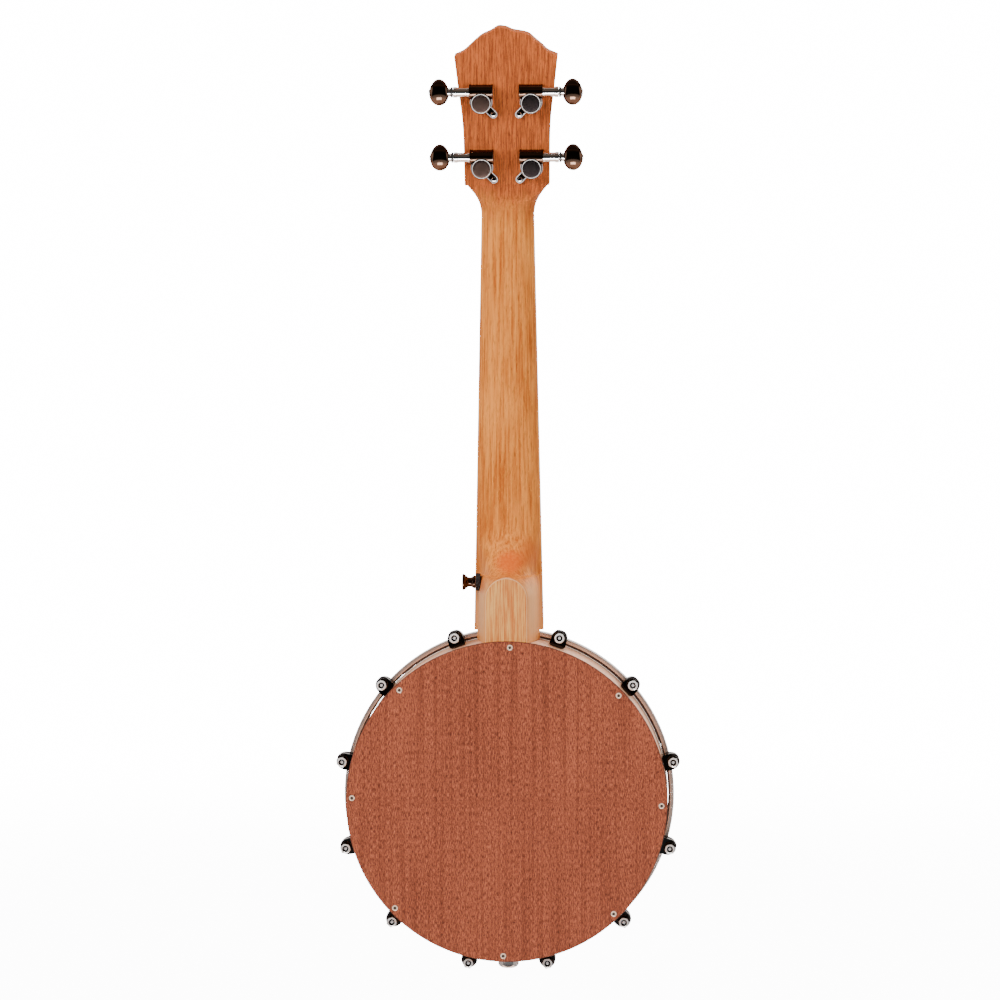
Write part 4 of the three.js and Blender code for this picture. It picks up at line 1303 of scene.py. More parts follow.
heel_patches = (
    ((2, heel_cap_top + 9), (12, 9), 0.8, paint(220, 94, 22)),
    ((13, heel_cap_top + 14), (8, 12), 0.5, paint(206, 92, 34)),
    ((-16.5, heel_cap_top - 6), (4, 6), 0.6, paint(196, 100, 62)),
)

neck_wood = wood(
    "neck_wood", paint(253, 155, 65), paint(188, 93, 28), grain=2, sheen=0.5,
    streak=(1.4, 40), fleck=(0.7, 6), flecked=0.45, clouded=0.35,
)
x, y, z = neck_wood.parts(neck_wood.place())
wander = (neck_wood.noise(neck_wood.place(), wander_sizes, detail=3) - 0.5) * (red_wander * mm)


def within(value, limits):
    """0 before the first limit, in millimetres, and 1 after the second."""
    return neck_wood.step(value, limits[0] * mm, limits[1] * mm)


red_share = within(z + wander, red_range)
leaning = neck_wood.node("ShaderNodeCombineXYZ", {}, {0: x, 1: y + z * math.tan(head_tilt), 2: z})
red_streaks = neck_wood.noise(leaning, red_streak_sizes, detail=4, roughness=0.65)
red_grain = neck_wood.step(red_streaks, *red_streak_range)
red = neck_wood.blend(red_grain, paint(150, 72, 34), paint(218, 112, 56))
red_pores = neck_wood.step(neck_wood.noise(leaning, red_pore_sizes, roughness=0.6), *red_pore_range)
red = neck_wood.blend(red_pores * red_pore_share, red, paint(92, 38, 16))


def patch_spot(middle, radii):
    """1 in the middle of an oval seen from behind, and 0 outside it."""
    across = (x - middle[0] * mm) * (1 / (radii[0] * mm))
    up = (z - middle[1] * mm) * (1 / (radii[1] * mm))
    return 1 - neck_wood.step((across * across + up * up) ** 0.5, *patch_range)


over_arch = neck_wood.node("ShaderNodeMath", {"operation": "MAXIMUM"}, {0: z - arch_start * mm, 1: 0})
past_arch = (x * x + over_arch * over_arch) ** 0.5 - heel_cap_half * mm
near_back = 1 - within(y, heel_back_range)
cap_streaks = neck_wood.noise(neck_wood.place(), cap_streak_sizes, detail=4, roughness=0.65)
cap_grain = neck_wood.step(cap_streaks, *cap_streak_range)
pale_cap = neck_wood.blend(cap_grain, paint(208, 110, 50), paint(255, 187, 104))
cap_share = (1 - within(past_arch, (-cap_line, 0))) * near_back
# The heel's flanks beside the cap are painted pale as a painted sheen.
flank_sheen = within(past_arch, flank_sheen_start) * (1 - within(past_arch, flank_sheen_end))
flank_sheen = flank_sheen * (1 - within(z, flank_sheen_top))
# A pale line along the cap's edge is a painted highlight.
arris_highlight = within(past_arch, (-cap_line, 0)) * (1 - within(past_arch, arris_highlight_end)) * near_back
heel_colour = neck_wood.blend(flank_sheen * flank_sheen_share, neck_wood.colour, paint(234, 168, 104))
for middle, radii, share, patch_paint in heel_patches:
    heel_colour = neck_wood.blend(patch_spot(middle, radii) * share, heel_colour, patch_paint)
heel_colour = neck_wood.blend(cap_share, heel_colour, pale_cap)
heel_colour = neck_wood.blend(arris_highlight * arris_highlight_share, heel_colour, paint(255, 206, 152))
neck_wood.set(Base_Color=neck_wood.blend(red_share, heel_colour, red), Specular_IOR_Level=0.12)

neck = make("carved_neck", lofted([neck_ring(z) for z in neck_heights()]), neck_wood)
head_slab = make("headstock_slab", slab(headstock_outline(flare_end), -head_thickness, 0), neck_wood)
soften(head_slab, head_ease, steps=3)
carve(neck, placed(taken(head_slab), headstock_place), "UNION")
carve(neck, bar_along_y(rim_radius + sleeve_gap, -hole_overrun, neck_front + hole_overrun, pot_steps))
carve(neck, bar_along_y(neck_pot_end, hoop_back - hoop_notch_gap, neck_front + hole_overrun, pot_steps))
heel_bore = bar_along_z(rod_radius + bolt_gap, rim_inner, rim_radius + rod_in_heel + bolt_gap)
carve(neck, placed(heel_bore, Matrix.Translation((0, rod_level, 0))))
for hole in sleeve_holes(-head_thickness - hole_overrun, hole_overrun):
    carve(neck, hole)


def neck_side(z, y):
    """How far the neck's side stands out at this height and depth."""
    front, side, back, half, flat, roundness = neck_section(z)
    return mix(flat, half, side_shape((y - back) / (side - back), roundness))


button_seat = neck_side(button_level, button_depth) - button_seat_cut
lie_along_x = Matrix.Translation((0, button_depth, button_level)) @ Matrix.Rotation(math.radians(90), 4, "Z")
carve(neck, placed(bar_along_y(button_seat_radius, button_seat, neck_pot_half + hole_overrun), lie_along_x))
fasten(neck, "instrument", "neck_wood", "neck", crease=38)

# Fretboard: a board of dark wood glued to the neck's front, with a nickel fret hammered into
# a slot at each semitone and round pearl dots let in between some of them.
board_thickness = 5
board_top = neck_front + board_thickness
fret_count = 18
fret_half_width = 1
fret_crown = 0.9
scale_length = 400
octave_fret = 12
fret_steps = 10
fret_end_share = 0.55
fret_end_slope = 0.5
board_ease = 0.4
dot_frets = (5, 7, 10, 12, 15)
dot_radius = 2.5
dot_sink = 1
dot_proud = 0.02
dot_face_share = 0.9
twin_dot_side = 7

dark_wood = wood(
    "fretboard_wood", paint(74, 52, 41), paint(40, 27, 22), grain=2, sheen=0.42,
    streak=(1.8, 50), fleck=(0.6, 6), flecked=0.45, clouded=0.4,
)


def fret_height(number):
    return nut_low - scale_length * (1 - 2 ** (-number / octave_fret))


board_outline = [
    (neck_half(neck_pot_end), neck_pot_end),
    (neck_half(nut_low), nut_low),
    (-neck_half(nut_low), nut_low),
    (-neck_half(neck_pot_end), neck_pot_end),
]
fingerboard = make("fretboard_board", slab(board_outline, neck_front, board_top), dark_wood)
soften(fingerboard, board_ease)
pearl = Finish("pearl")
shimmer = pearl.noise(pearl.place(), (1.4, 1.4, 2.2), detail=3)
lustre = pearl.step(shimmer, 0.35, 0.65)
pearl.set(Base_Color=pearl.blend(lustre, paint(222, 218, 206), paint(246, 242, 238)))
pearl.set(Roughness=0.2 + shimmer * 0.1)


def dot_places():
    """A dot halfway between two frets, or a pair of them below the octave."""
    for number in dot_frets:
        z = (fret_height(number) + fret_height(number - 1)) / 2
        for side in (-1, 1) if number == octave_fret else (0,):
            yield side * twin_dot_side, z


dot_seat = board_top - dot_sink
dot_form = turned([
    (0, dot_seat), (dot_radius, dot_seat), (dot_radius, board_top),
    (dot_radius * dot_face_share, board_top + dot_proud), (0, board_top + dot_proud),
], round_steps)
for i, (x, z) in enumerate(dot_places()):
    where = Matrix.Translation((x, 0, z))
    carve(fingerboard, placed(bar_along_y(dot_radius, dot_seat, board_top + dot_sink), where))
    fasten(make(f"pearl_dot_{i + 1}", placed(dot_form, where), pearl), "instrument", "bone")
fasten(fingerboard, "instrument", "fretboard_wood", "fretboard")

nickel = plain_finish(
    "fret_nickel", (1.2, 1.2, 0.4), paint(196, 192, 184), paint(216, 213, 206),
    metal=1, smooth=0.16, spread=0.14,
)
fret_arc = [math.pi * i / fret_steps for i in range(fret_steps + 1)]
fret_foot = board_top - fret_crown
fret_section = [(fret_half_width * math.cos(t), board_top + fret_crown * math.sin(t)) for t in fret_arc]
fret_section += [(-fret_half_width, fret_foot), (fret_half_width, fret_foot)]
for number in range(1, fret_count + 1):
    z = fret_height(number)
    half = neck_half(z) - fret_crown / 2
    full = half - fret_end_slope
    rings = []
    for x, share in ((-half, fret_end_share), (-full, 1), (full, 1), (half, fret_end_share)):
        rings.append([(x, mix(fret_foot, y, share), z + dz * share) for dz, y in fret_section])
    fasten(make(f"fret_{number:02d}", lofted(rings), nickel), "instrument", "chrome", crease=30)

# String nut and bridge: a slotted bar of bone glued to the end of the fretboard, and a maple
# bridge on three feet with a hard dark cap, which only the strings hold down on the head.
nut_top = 64.9
slot_radius = 0.5
slot_lift_share = 0.7
slot_steps = 12
nut_string_pitch = 8.7
nut_ease_round = 0.9
bridge_half = 28
bridge_height = 8.5
bridge_thickness = 4.5
bridge_foot_half = 4.5
bridge_arch_height = 5
bridge_arch_steps = 16
bridge_edge = 0.3
bridge_cap_half = 25
bridge_cap_height = 1.6
bridge_cap_thickness = 2.6
bridge_cap_edge = 0.35
bridge_string_pitch = 12
string_radius = 0.35
string_rest = 0.1

bone = Finish("bone")
bone_grain = bone.noise(bone.place(), (1.5, 0.4, 0.4), detail=3)
bone_age = bone.noise(bone.place(), (8, 8, 8), detail=2)
bone.set(Base_Color=bone.blend(bone_age, paint(240, 230, 208), paint(222, 208, 178)))
bone.set(Roughness=0.32 + bone_grain * 0.15, Normal=bone.bump(bone_grain, 0.01))


def cut_slots(piece, pitch, low, high, top):
    """Cuts a round slot for each string across the top of a piece."""
    slot = bar_along_z(slot_radius, low - hole_overrun, high + hole_overrun, slot_steps)
    for x in string_offsets(pitch):
        carve(piece, placed(slot, Matrix.Translation((x, top + slot_radius * slot_lift_share, 0))))


nut_block = block((-neck_nut_half, neck_front, nut_low), (neck_nut_half, nut_top, nut_high))
string_nut = make("bone_nut", nut_block, bone)
soften(string_nut, nut_ease_round, steps=3)
cut_slots(string_nut, nut_string_pitch, nut_low, nut_high, nut_top)
fasten(string_nut, "instrument", "bone", "string_nut")

bridge_middle = nut_low - scale_length
bridge_wood = wood(
    "bridge_wood", paint(238, 214, 172), paint(214, 180, 130), grain=0, sheen=0.45,
    streak=(1.1, 40), fleck=(0.4, 3), flecked=0.3, clouded=0.4,
)
arch_span = bridge_half - 3 * bridge_foot_half
arch_middle = bridge_foot_half + arch_span / 2


def arch(middle):
    """The opening between two feet, from left to right."""
    line = []
    for i in range(bridge_arch_steps + 1):
        turn = math.pi * (1 - i / bridge_arch_steps)
        level = head_front + bridge_arch_height * math.sin(turn)
        line.append((middle + arch_span / 2 * math.cos(turn), level))
    return line


bridge_top = head_front + bridge_height
bridge_line = [(-bridge_half, head_front)] + arch(-arch_middle) + arch(arch_middle)
bridge_line += [(bridge_half, head_front), (bridge_cap_half, bridge_top), (-bridge_cap_half, bridge_top)]
bridge_faces = (bridge_middle - bridge_thickness / 2, bridge_middle + bridge_thickness / 2)
bridge_form = lofted([[(x, y, z) for x, y in bridge_line] for z in bridge_faces])
bridge = make("bridge_board", bridge_form, bridge_wood)
soften(bridge, bridge_edge)
fasten(bridge, "instrument", "bridge_wood", "bridge")
cap_top = bridge_top + bridge_cap_height
cap_low = bridge_middle - bridge_cap_thickness / 2
cap_high = bridge_middle + bridge_cap_thickness / 2
cap_block = block((-bridge_cap_half, bridge_top, cap_low), (bridge_cap_half, cap_top, cap_high))
cap = make("bridge_top_cap", cap_block, dark_wood)
soften(cap, bridge_cap_edge, steps=3)
cut_slots(cap, bridge_string_pitch, bridge_middle, bridge_middle, cap_top)
fasten(cap, "instrument", "fretboard_wood", "bridge_cap")

# Headstock veneer: a thin sheet of the fretboard's dark wood glued to the headstock's front,
# plain, and bored with the headstock for the tuners.
veneer_gap = 0.3
veneer_thickness = 1.5
veneer_start = 1
veneer_edge = 0.35


def in_metres(matrix):
    """A matrix made for millimetres, for meshes that are in metres already."""
    return Matrix.Scale(mm, 4) @ matrix @ Matrix.Scale(1 / mm, 4)


veneer_front = veneer_gap + veneer_thickness
veneer = make("veneer_sheet", slab(headstock_outline(veneer_start), veneer_gap, veneer_front), dark_wood)
soften(veneer, veneer_edge)
veneer.data.transform(in_metres(headstock_place))
for hole in sleeve_holes(-hole_overrun, veneer_front + hole_overrun):
    carve(veneer, hole)
fasten(veneer, "instrument", "fretboard_wood", "headstock_veneer")

# Tuners: four die-cast, smoke-plated housings on the headstock's back, each a gear case closed
# by a dark satin disc, with a barrel for the worm, a chrome tube for its shaft and a lug held
# by a screw. A sleeve goes through the wood to a washer and nut on the front.
tuner_seat = -head_thickness - veneer_gap
case_radius = 6.7
case_height = 8.4
case_rim = 1
case_recess = 0.55
case_edge = 0.5
case_edge_share = 0.3
case_steps = 48
bead_height = 0.28
bead_steps = 6
disc_gap = 0.08
disc_sink = 0.3
disc_crown = 0.12
disc_shoulder_share = 0.6
disc_shoulder = 0.08
disc_edge = (0.3, 0.12)
turning_share = 0.3
worm_offset = 7
barrel_half = 7.6
barrel_radius = 3.8
barrel_top = 4.6
barrel_under = 4.4
barrel_steps = 16
barrel_collar = 0.9
barrel_step = 0.3
barrel_step_slope = 0.1
barrel_chamfer = 0.25
tube_radius = 3.4
tube_start = 7
tube_end = 17.6
tube_ring = 1.1
tube_end_ring = 2.2
tube_step = 0.35
tube_step_slope = 0.2
tube_chamfer = 0.25
tube_steps = 36
shaft_bore = 2.3
shaft_bore_floor = 1.2
lug_radius = 2.4
lug_reach = 10.9
lug_turn = math.radians(45)
lug_thickness = 1.4
lug_edge = 0.3
lug_steps = 12
lug_rim = 0.33
lug_rim_start_share = 0.8
lug_rim_sides = 10
lug_screw_radius = 1.75
lug_screw_depth = 1
lug_screw_dome = 0.55
lug_screw_lift = 0.15
base_flange = 0.5
base_flange_height = 1.1
gear_pocket = 5
gear_pocket_half = 2.05
post_bore = 3.3
sleeve_root = 0.5
sleeve_end_drop = 0.4
bushing_corner = 5.9
bushing_height = 2.2
bushing_gap = 0.02
bushing_chamfer = (0.7, 0.5)
washer_radius = 6.3
washer_height = 0.6
washer_gap = 0.1
washer_chamfer = (0.25, 0.2)

case_back = tuner_seat - case_height
case_floor = case_back + case_recess
worm_level = tuner_seat - case_height / 2
front_seat = veneer_front + veneer_gap
lie_x = Matrix.Rotation(math.radians(-90), 4, "Z")
to_worm = Matrix.Translation((0, worm_level, worm_offset))
to_lug = Matrix.Rotation(math.pi - lug_turn, 4, "Y")


def barrel_section(smaller):
    """The barrel's section, as depth and height, round over the worm and straight to its seat."""
    above = barrel_top - smaller
    outline = [(tuner_seat, worm_offset - barrel_under), (tuner_seat, worm_offset + above)]
    for i in range(barrel_steps + 1):
        turn = math.pi * i / barrel_steps
        reach = above if math.cos(turn) > 0 else barrel_under
        level = worm_level - (barrel_radius - smaller) * math.sin(turn)
        outline.append((level, worm_offset + reach * math.cos(turn)))
    return outline


def barrel_form():
    """The barrel, chamfered at both ends and a little thinner between two collars."""
    end = barrel_half - barrel_chamfer
    inner = barrel_half - barrel_collar
    waist = inner - barrel_step_slope
    stations = (
        (-barrel_half, barrel_chamfer), (-end, 0), (-inner, 0), (-waist, barrel_step),
        (waist, barrel_step), (inner, 0), (end, 0), (barrel_half, barrel_chamfer),
    )
    return lofted([[(x, y, z) for y, z in barrel_section(smaller)] for x, smaller in stations])


def tube_form():
    """The tube: thick at the case and at its open end, and thinner between them."""
    narrow = tube_radius - tube_step
    near = barrel_half + tube_ring
    far = tube_end - tube_end_ring
    profile = [
        (0, tube_start), (tube_radius, tube_start), (tube_radius, near), (narrow, near + tube_step_slope),
        (narrow, far - tube_step_slope), (tube_radius, far), (tube_radius, tube_end - tube_chamfer),
        (tube_radius - tube_chamfer, tube_end), (0, tube_end),
    ]
    return placed(turned(profile, tube_steps), to_worm @ lie_x)


def lug_outline(start, radius):
    outline = [(start, -radius), (lug_reach, -radius)]
    for i in range(1, lug_steps):
        turn = math.pi * (i / lug_steps - 0.5)
        outline.append((lug_reach + radius * math.cos(turn), radius * math.sin(turn)))
    return outline + [(lug_reach, radius), (start, radius)]


def lug_form():
    """The lug's plate: an arm from the case that ends in a round eye for its screw."""
    return placed(slab(lug_outline(0, lug_radius), tuner_seat - lug_thickness, tuner_seat), to_lug)


def lug_rim_form():
    """The raised edge round the lug, which runs into the case at both ends."""
    outline = lug_outline(case_radius * lug_rim_start_share, lug_radius - lug_rim / 2)
    path = [Vector((along, tuner_seat - lug_thickness, across)) for along, across in outline]
    rim_bar = swept(path, lambda i, share: lug_rim, lug_rim_sides, lean=Vector((0, 1, 0)))
    return placed(rim_bar, to_lug)


smoked_chrome = plain_finish(
    "smoked_chrome", (6, 6, 6), (0.08, 0.045, 0.03, 1), (0.115, 0.066, 0.045, 1),
    metal=1, smooth=0.06, spread=0.05, Specular_Tint=(0.3, 0.25, 0.22, 1),
)
# The bead, the base flange and the lug's rim are near white and barely metallic, as a painted highlight on
# their polished edges.
highlight_nickel = plain_finish(
    "highlight_nickel", (1.5, 1.5, 1.5), paint(244, 240, 236), paint(255, 252, 250),
    metal=0.12, smooth=0.2, spread=0.1,
)

satin = Finish("satin_disc")
turning = satin.noise(satin.place(), (5, 5, 5), detail=3)
speckle = satin.noise(satin.place(), (0.25, 0.25, 0.25), detail=2)
x, y, z = satin.parts(satin.place())
# The discs of the right-hand tuners are painted darker as painted shade; the turning marks vary at random.
right_side_shade = satin.step(x, -tuner_side * mm, tuner_side * mm)
turning_and_shade = turning * turning_share + right_side_shade * (1 - turning_share)
satin.set(Base_Color=satin.blend(turning_and_shade, paint(72, 56, 50), paint(32, 30, 32)), Metallic=1)
satin.set(Roughness=0.32 + speckle * 0.16, Normal=satin.bump(speckle, 0.01))

bead_outer = case_radius - case_edge
bead_middle = (bead_outer + case_radius - case_rim) / 2
bead_turns = [math.pi * i / bead_steps for i in range(bead_steps + 1)]
bead = [(bead_middle + (bead_outer - bead_middle) * math.cos(t), case_back + bead_height * (1 - math.sin(t)))
        for t in bead_turns]
bead_foot = [(case_radius - case_rim, case_floor), (bead_outer, case_floor)]
bead_ring = turned(bead + bead_foot, case_steps, ring=True)
flange_outer = case_radius + base_flange
flange_ring = turned([
    (case_radius, tuner_seat), (flange_outer, tuner_seat), (flange_outer, tuner_seat - base_flange_height),
    (case_radius, tuner_seat - base_flange_height),
], case_steps, ring=True)
highlight_edges = together(bead_ring, flange_ring, lug_rim_form())

under_bead = case_back + bead_height
case_profile = [
    (0, tuner_seat), (case_radius, tuner_seat), (case_radius, under_bead + case_edge),
    (case_radius - case_edge * case_edge_share, under_bead + case_edge * case_edge_share),
    (bead_outer, under_bead), (bead_outer, case_floor), (0, case_floor),
]
housing = make("housing", turned(case_profile, case_steps), smoked_chrome)
lug = make("lug", lug_form(), chrome)
soften(lug, lug_edge)
bushing_front = front_seat + bushing_height
sleeve = bar_along_y(sleeve_radius, tuner_seat - sleeve_root, bushing_front - sleeve_end_drop)
for form in (barrel_form(), taken(lug), sleeve):
    carve(housing, form, "UNION")
worm_tube = make("worm_tube", tube_form(), chrome)
carve(housing, bar_along_y(bead_outer, case_back - bore_overrun, case_floor, case_steps))
carve(housing, bar_along_y(gear_pocket, worm_level - gear_pocket_half, worm_level + gear_pocket_half))
carve(housing, bar_along_y(post_bore, worm_level, bushing_front + bore_overrun))
shaft_way = bar_along_y(shaft_bore, -barrel_half + shaft_bore_floor, tube_end + bore_overrun, small_steps)
for bored in (housing, worm_tube):
    carve(bored, placed(shaft_way, to_worm @ lie_x))
housing = taken(housing)
worm_tube = taken(worm_tube)

disc_radius = case_radius - case_rim - disc_gap
disc_face = case_back + disc_sink
disc_form = turned([
    (0, disc_face - disc_crown), (disc_radius * disc_shoulder_share, disc_face - disc_shoulder),
    (disc_radius - disc_edge[0], disc_face), (disc_radius, disc_face + disc_edge[1]),
    (disc_radius, case_floor), (0, case_floor),
], case_steps)
lug_end = to_lug @ Vector((lug_reach, 0, 0))
lug_screw = cross_screw(lug_screw_radius, lug_screw_depth, lug_screw_dome)
lug_face = tuner_seat - lug_thickness
lug_screw = placed(lug_screw, Matrix.Translation((lug_end.x, lug_face - lug_screw_lift, lug_end.z)))

bushing = make("bushing", hexagon(bushing_corner, front_seat + washer_height, bushing_front), chrome)
past_bushing_corner = bushing_corner + seat_overlap
bushing_bore = sleeve_radius + bushing_gap
bushing_profile = [
    (0, front_seat), (past_bushing_corner, front_seat),
    (past_bushing_corner, bushing_front - bushing_chamfer[1]),
    (bushing_corner - bushing_chamfer[0], bushing_front), (0, bushing_front),
]
carve(bushing, turned(bushing_profile, round_steps), "INTERSECT")
carve(bushing, bar_along_y(bushing_bore, front_seat - bore_overrun, bushing_front + bore_overrun))
washer_bore = bushing_bore + washer_gap
washer_front = front_seat + washer_height
washer = [
    (washer_bore, front_seat), (washer_radius, front_seat),
    (washer_radius, washer_front - washer_chamfer[1]),
    (washer_radius - washer_chamfer[0], washer_front), (washer_bore, washer_front),
]
bushing = together(taken(bushing), turned(washer, round_steps, ring=True))


def tuner_frames():
    """Each tuner's number and its place, mirrored on the left so that its knob is outside."""
    for i, (x, height) in enumerate(tuner_places()):
        mirror = Matrix.Scale(-1, 4, (1, 0, 0)) if x < 0 else Matrix.Identity(4)
        yield i + 1, headstock_place @ Matrix.Translation((x, 0, height)) @ mirror


for number, place in tuner_frames():
    case = make(f"tuner_case_{number}", placed(housing, place), smoked_chrome)
    fasten(case, "instrument", "chrome", f"tuner_housing_{number}", crease=32)
    fittings = (
        ("tube", worm_tube, chrome, 32),
        ("bead", highlight_edges, highlight_nickel, 60),
        ("disc", disc_form, satin, 25),
        ("screw", lug_screw, chrome, 30),
        ("bushing", bushing, chrome, 30),
    )
    for title, form, finish, crease in fittings:
        fitting = make(f"tuner_{title}_{number}", placed(form, place), finish)
        fasten(fitting, "instrument", "chrome", crease=crease)

# Tuner knobs: four oval knobs in the housings' smoke plating, each held on the worm's chrome
# shaft by a small screw, with a black washer between the shaft's collar and the tube.
shaft_radius = 2
knob_washer_radius = 3.3
knob_washer_gap = 0.3
knob_washer_thickness = 1.3
knob_washer_start = tube_end + knob_washer_gap
knob_washer_end = knob_washer_start + knob_washer_thickness
knob_washer_slack = 0.05
knob_washer_chamfer = (0.2, 0.25)
shaft_end_gap = 1.5
shaft_in_knob = 1
collar_radius = 2.6
collar_start = knob_washer_end
knob_start = 20.2
knob_length = 12.8
knob_half_width = 8.5
knob_half_thickness = 4.7
knob_neck = 2.5
knob_fullness = 2.08
knob_egg = 0.14
knob_tip_share = 0.05
knob_rows = 28
knob_sides = 48
knob_screw_radius = 1.7
knob_screw_depth = 0.6
knob_screw_dome = 0.4
knob_screw_sink = 0.1

black_nylon = plain_finish(
    "string_nylon", (0.3, 0.3, 4), paint(30, 30, 29), paint(46, 45, 43),
    metal=0, smooth=0.3, spread=0.1, detail=2,
)


def knob_form():
    """The oval: rings across the shaft's axis, with a neck inside and a narrower upper end."""
    rings = []
    middle = knob_start + knob_length / 2
    for i in range(knob_rows + 1):
        turn = math.pi * i / knob_rows
        along = -math.cos(turn)
        full = knob_tip_share
        if 0 < i < knob_rows:
            full = (1 - abs(along) ** knob_fullness) ** (1 / knob_fullness)
        x = knob_start + knob_length / 2 * (1 + along)
        inside = max(1 - (x - knob_start) / knob_neck, 0)
        ring_points = []
        for k in range(knob_sides):
            t = 2 * math.pi * k / knob_sides
            across = math.copysign(abs(math.cos(t)) ** (2 / knob_fullness), math.cos(t))
            out = math.copysign(abs(math.sin(t)) ** (2 / knob_fullness), math.sin(t))
            z = max(knob_half_width * full, shaft_radius * inside) * across
            y = max(knob_half_thickness * full, shaft_radius * inside) * out
            narrowed = 1 - knob_egg * max(z / knob_half_width, 0)
            ring_points.append((middle + (x - middle) * narrowed, y, z))
        rings.append(ring_points)
    return lofted(rings)


chamfer_in, chamfer_along = knob_washer_chamfer
shaft_start = -barrel_half + shaft_end_gap
shaft_profile = [
    (0, shaft_start), (shaft_radius, shaft_start), (shaft_radius, collar_start),
    (collar_radius - chamfer_in, collar_start), (collar_radius, collar_start + chamfer_along),
    (collar_radius, knob_start + shaft_in_knob), (0, knob_start + shaft_in_knob),
]
knob = placed(knob_form(), to_worm)
shaft = placed(turned(shaft_profile, round_steps), to_worm @ lie_x)
washer_inner = shaft_radius + knob_washer_slack
washer_profile = [
    (washer_inner, knob_washer_start), (knob_washer_radius - chamfer_in, knob_washer_start),
    (knob_washer_radius, knob_washer_start + chamfer_along),
    (knob_washer_radius, knob_washer_end - chamfer_along - knob_washer_slack),
    (knob_washer_radius - chamfer_in, knob_washer_end - knob_washer_slack),
    (washer_inner, knob_washer_end - knob_washer_slack),
]
knob_washer = placed(turned(washer_profile, round_steps, ring=True), to_worm @ lie_x)
knob_end = Matrix.Translation((knob_start + knob_length - knob_screw_sink, 0, 0))
end_screw = cross_screw(knob_screw_radius, knob_screw_depth, knob_screw_dome)
end_screw = placed(end_screw, to_worm @ knob_end @ Matrix.Rotation(math.radians(90), 4, "Z"))
for number, place in tuner_frames():
    body = f"knob_{number}"
    oval = make(f"tuner_button_{number}", placed(knob, place), smoked_chrome)
    fasten(oval, body, "chrome", f"tuner_knob_{number}", crease=50)
    shaft_piece = make(f"tuner_shaft_{number}", placed(shaft, place), chrome)
    fasten(shaft_piece, body, "chrome", crease=50)
    washer_piece = make(f"knob_washer_{number}", placed(knob_washer, place), black_nylon)
    fasten(washer_piece, body, "string_nylon")
    screw_piece = make(f"knob_screw_{number}", placed(end_screw, place), chrome)
    fasten(screw_piece, body, "chrome", crease=30)

# String posts: four turned steel posts with the worm's gear at the back end and a hole for
# the string above a waist, in which the string is wound.
gear_radius = 4.7
gear_half = 1.75
post_radius = 3
post_height = 18
waist_radius = 2.3
waist_shoulder = 0.6
waist_over = 1.2
waist_flare = (0.25, 2.6)
post_cone = 3.4
post_chamfer = 0.5
winding_from = 6.6
winding_to = 10.2
winding_lift = (0.6, 0.4)
winding_turns = 4
winding_sides = 8
winding_gap = 0.02
steps_in_turn = 24
post_hole_radius = 0.8
post_hole_height = 12.6
hole_entry = (-0.8, -0.4, 0.6)
string_end = 1.5

gear_back = worm_level - gear_half
gear_front = worm_level + gear_half
post_profile = [
    (0, gear_back), (gear_radius, gear_back), (gear_radius, gear_front),
    (post_radius, gear_front), (post_radius, winding_from - waist_shoulder),
    (waist_radius, winding_from), (waist_radius, winding_to + waist_over),
    (waist_radius + waist_flare[0], winding_to + waist_flare[1]), (post_radius, post_height - post_cone),
    (post_radius, post_height - post_chamfer), (post_radius - post_chamfer, post_height), (0, post_height),
]
post = make("post", turned(post_profile, round_steps), chrome)
past_post = post_radius + bore_overrun
string_way = bar_along_y(post_hole_radius, -past_post, past_post, hole_steps)
carve(post, placed(string_way, Matrix.Translation((0, post_hole_height, 0)) @ lie_x))
post = taken(post)
winding_start = winding_from + winding_lift[0]


def winding_form():
    """The string's turns round the waist, from where it arrives up to the hole."""
    radius = waist_radius + string_radius + winding_gap
    path = []
    for i in range(winding_turns * steps_in_turn + 1):
        share = i / (winding_turns * steps_in_turn)
        turn = 2 * math.pi * winding_turns * share + math.pi
        level = mix(winding_start, winding_to + winding_lift[1], share)
        path.append(Vector((radius * math.cos(turn), level, radius * math.sin(turn))))
    aside_share, below, across = hole_entry
    path.append(Vector((waist_radius * aside_share, post_hole_height + below, across)))
    path.append(Vector((0, post_hole_height, 0)))
    path.append(Vector((post_radius + string_end, post_hole_height, 0)))
    return swept(path, lambda i, share: string_radius, winding_sides, lean=Vector((0, 1, 0)))


for number, place in tuner_frames():
    body = f"post_{number}"
    string_post = make(f"string_post_{number}", placed(post, place), chrome)
    fasten(string_post, body, "chrome", f"tuner_post_{number}", crease=35)
    winding = make(f"string_winding_{number}", placed(winding_form(), place), black_nylon)
    fasten(winding, body, "string_nylon", crease=60)

# Strings: four lengths of black nylon, tied through the tailpiece's bar and run over the
# bridge and the nut, the outer ones to the lower posts and the inner ones to the upper.
string_sides = 10
string_tail = 0.6
knot_radius = 0.75
knot_gap = 0.5
knot_length = 0.5
knot_turns = 2
knot_steps = 40
knot_sides = 8


def string_path(i):
    """A string's line: from the bar over the bridge and the nut to its post."""
    rest = string_radius + string_rest
    side = -1 if i < string_count / 2 else 1
    height = tuner_heights[0] if i in (0, string_count - 1) else tuner_heights[1]
    post_side = tuner_side - waist_radius - string_radius
    end = headstock_place @ Vector((side * post_side, winding_start, height))
    pitches = (tail_string_pitch, bridge_string_pitch, nut_string_pitch)
    x0, x1, x2 = (string_offsets(pitch)[i] for pitch in pitches)
    bridge_level = cap_top + rest
    nut_rest_level = nut_top + rest
    points = [
        (x0, anchor_level, bar_end - string_tail), (x0, anchor_level, -tail_reach),
        (x1, bridge_level, cap_low), (x1, bridge_level, cap_high),
        (x2, nut_rest_level, nut_low), (x2, nut_rest_level, nut_high), end,
    ]
    return [Vector(point) for point in points]


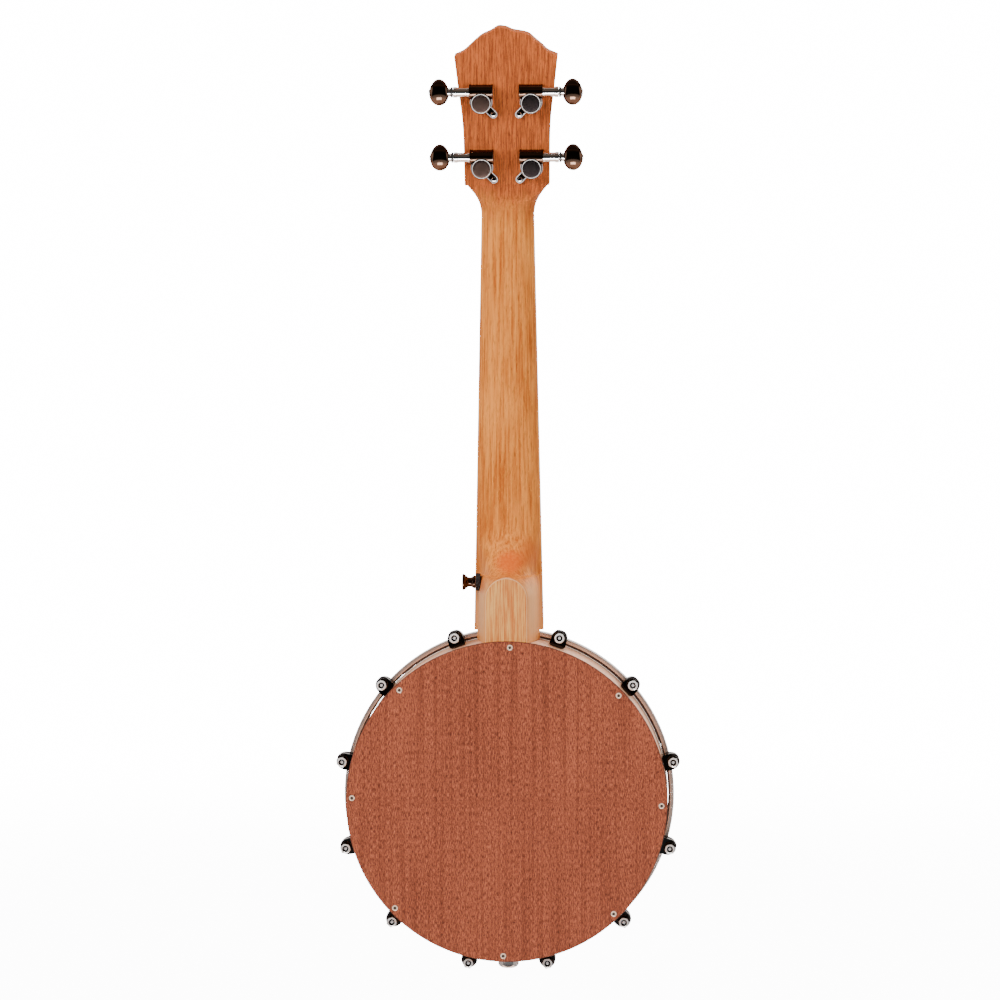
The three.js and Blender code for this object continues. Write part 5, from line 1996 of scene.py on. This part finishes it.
def knot_form(x):
    """The string's knot behind the bar: two small turns drawn up against its hole."""
    path = []
    for i in range(knot_steps + 1):
        turn = 2 * math.pi * knot_turns * i / knot_steps
        level = anchor_level + knot_radius * math.sin(turn)
        height = bar_end - knot_gap - knot_length * i / knot_steps
        path.append(Vector((x + knot_radius * math.cos(turn), level, height)))
    return swept(path, lambda i, share: string_radius, knot_sides, lean=Vector((0, 0, 1)))


for i, x in enumerate(string_offsets(tail_string_pitch)):
    line = swept(string_path(i), lambda k, share: string_radius, string_sides)
    string = make(f"string_line_{i + 1}", line, black_nylon)
    fasten(string, "instrument", "string_nylon", f"string_{i + 1}", crease=60)
    knot = make(f"string_knot_{i + 1}", knot_form(x), black_nylon)
    fasten(knot, "instrument", "string_nylon", crease=60)

# Strap button: a turned button in the tuners' smoke plating, screwed to the left side of the
# heel and seated on a washer of black felt, with its screw's head let into its end.
felt_radius = 5.6
felt_thickness = 3
felt_gap = 0.3
felt_ease = 0.5
button_length = 8.4
button_head_radius = 5.3
button_waist = 3
button_base = 4.2
button_ease = 0.9
button_base_share = 0.15
button_waist_shares = (0.3, 0.55)
button_head_share = 0.86
button_screw_radius = 2.2
button_screw_depth = 0.8
button_screw_dome = 0.3
button_screw_sink = 0.3
button_sink_floor = 0.9
button_sink_mouth = ((0.15, -0.15), (0.3, bore_overrun))

felt_face = button_seat + felt_gap
button_face = felt_face + felt_thickness + felt_gap
waist_start, waist_end = (button_length * share for share in button_waist_shares)
button_profile = eased([
    (0, 0), (button_base, 0), (button_base, button_length * button_base_share), (button_waist, waist_start),
    (button_waist, waist_end), (button_head_radius, button_length * button_head_share),
    (button_head_radius, button_length), (0, button_length),
], button_ease, closed=False)
button = make("turned_button", turned(button_profile, case_steps), smoked_chrome)
sink_floor = button_length - button_sink_floor
button_sink = [(0, sink_floor), (button_screw_radius * sink_tip_share, sink_floor)]
button_sink += [(button_screw_radius + wider, button_length + along) for wider, along in button_sink_mouth]
button_sink.append((0, button_length + bore_overrun))
carve(button, turned(button_sink, small_steps))
to_heel = lie_along_x @ Matrix.Translation((0, button_face, 0))
button.data.transform(in_metres(to_heel))
fasten(button, "instrument", "chrome", "strap_button", crease=35)
button_screw = cross_screw(button_screw_radius, button_screw_depth, button_screw_dome)
button_screw = placed(button_screw, Matrix.Rotation(math.pi, 4, "X"))
button_screw = placed(button_screw, to_heel @ Matrix.Translation((0, button_length - button_screw_sink, 0)))
fasten(make("strap_button_screw", button_screw, chrome), "instrument", "chrome", crease=30)

felt = Finish("black_felt")
fibres = felt.noise(felt.place(), (0.3, 0.3, 0.3), detail=5, roughness=0.8)
felt.set(Base_Color=felt.blend(fibres, paint(20, 18, 18), paint(52, 49, 48)), Roughness=0.95)
felt.set(Normal=felt.bump(fibres, 0.25))
felt_back = felt_face + felt_thickness
felt_corners = [(0, felt_face), (felt_radius, felt_face), (felt_radius, felt_back), (0, felt_back)]
felt_profile = eased(felt_corners, felt_ease, closed=False)
felt_washer = make("felt_washer", placed(turned(felt_profile, case_steps), lie_along_x), felt)
fasten(felt_washer, "instrument", "black_felt", "strap_button_felt", crease=60)
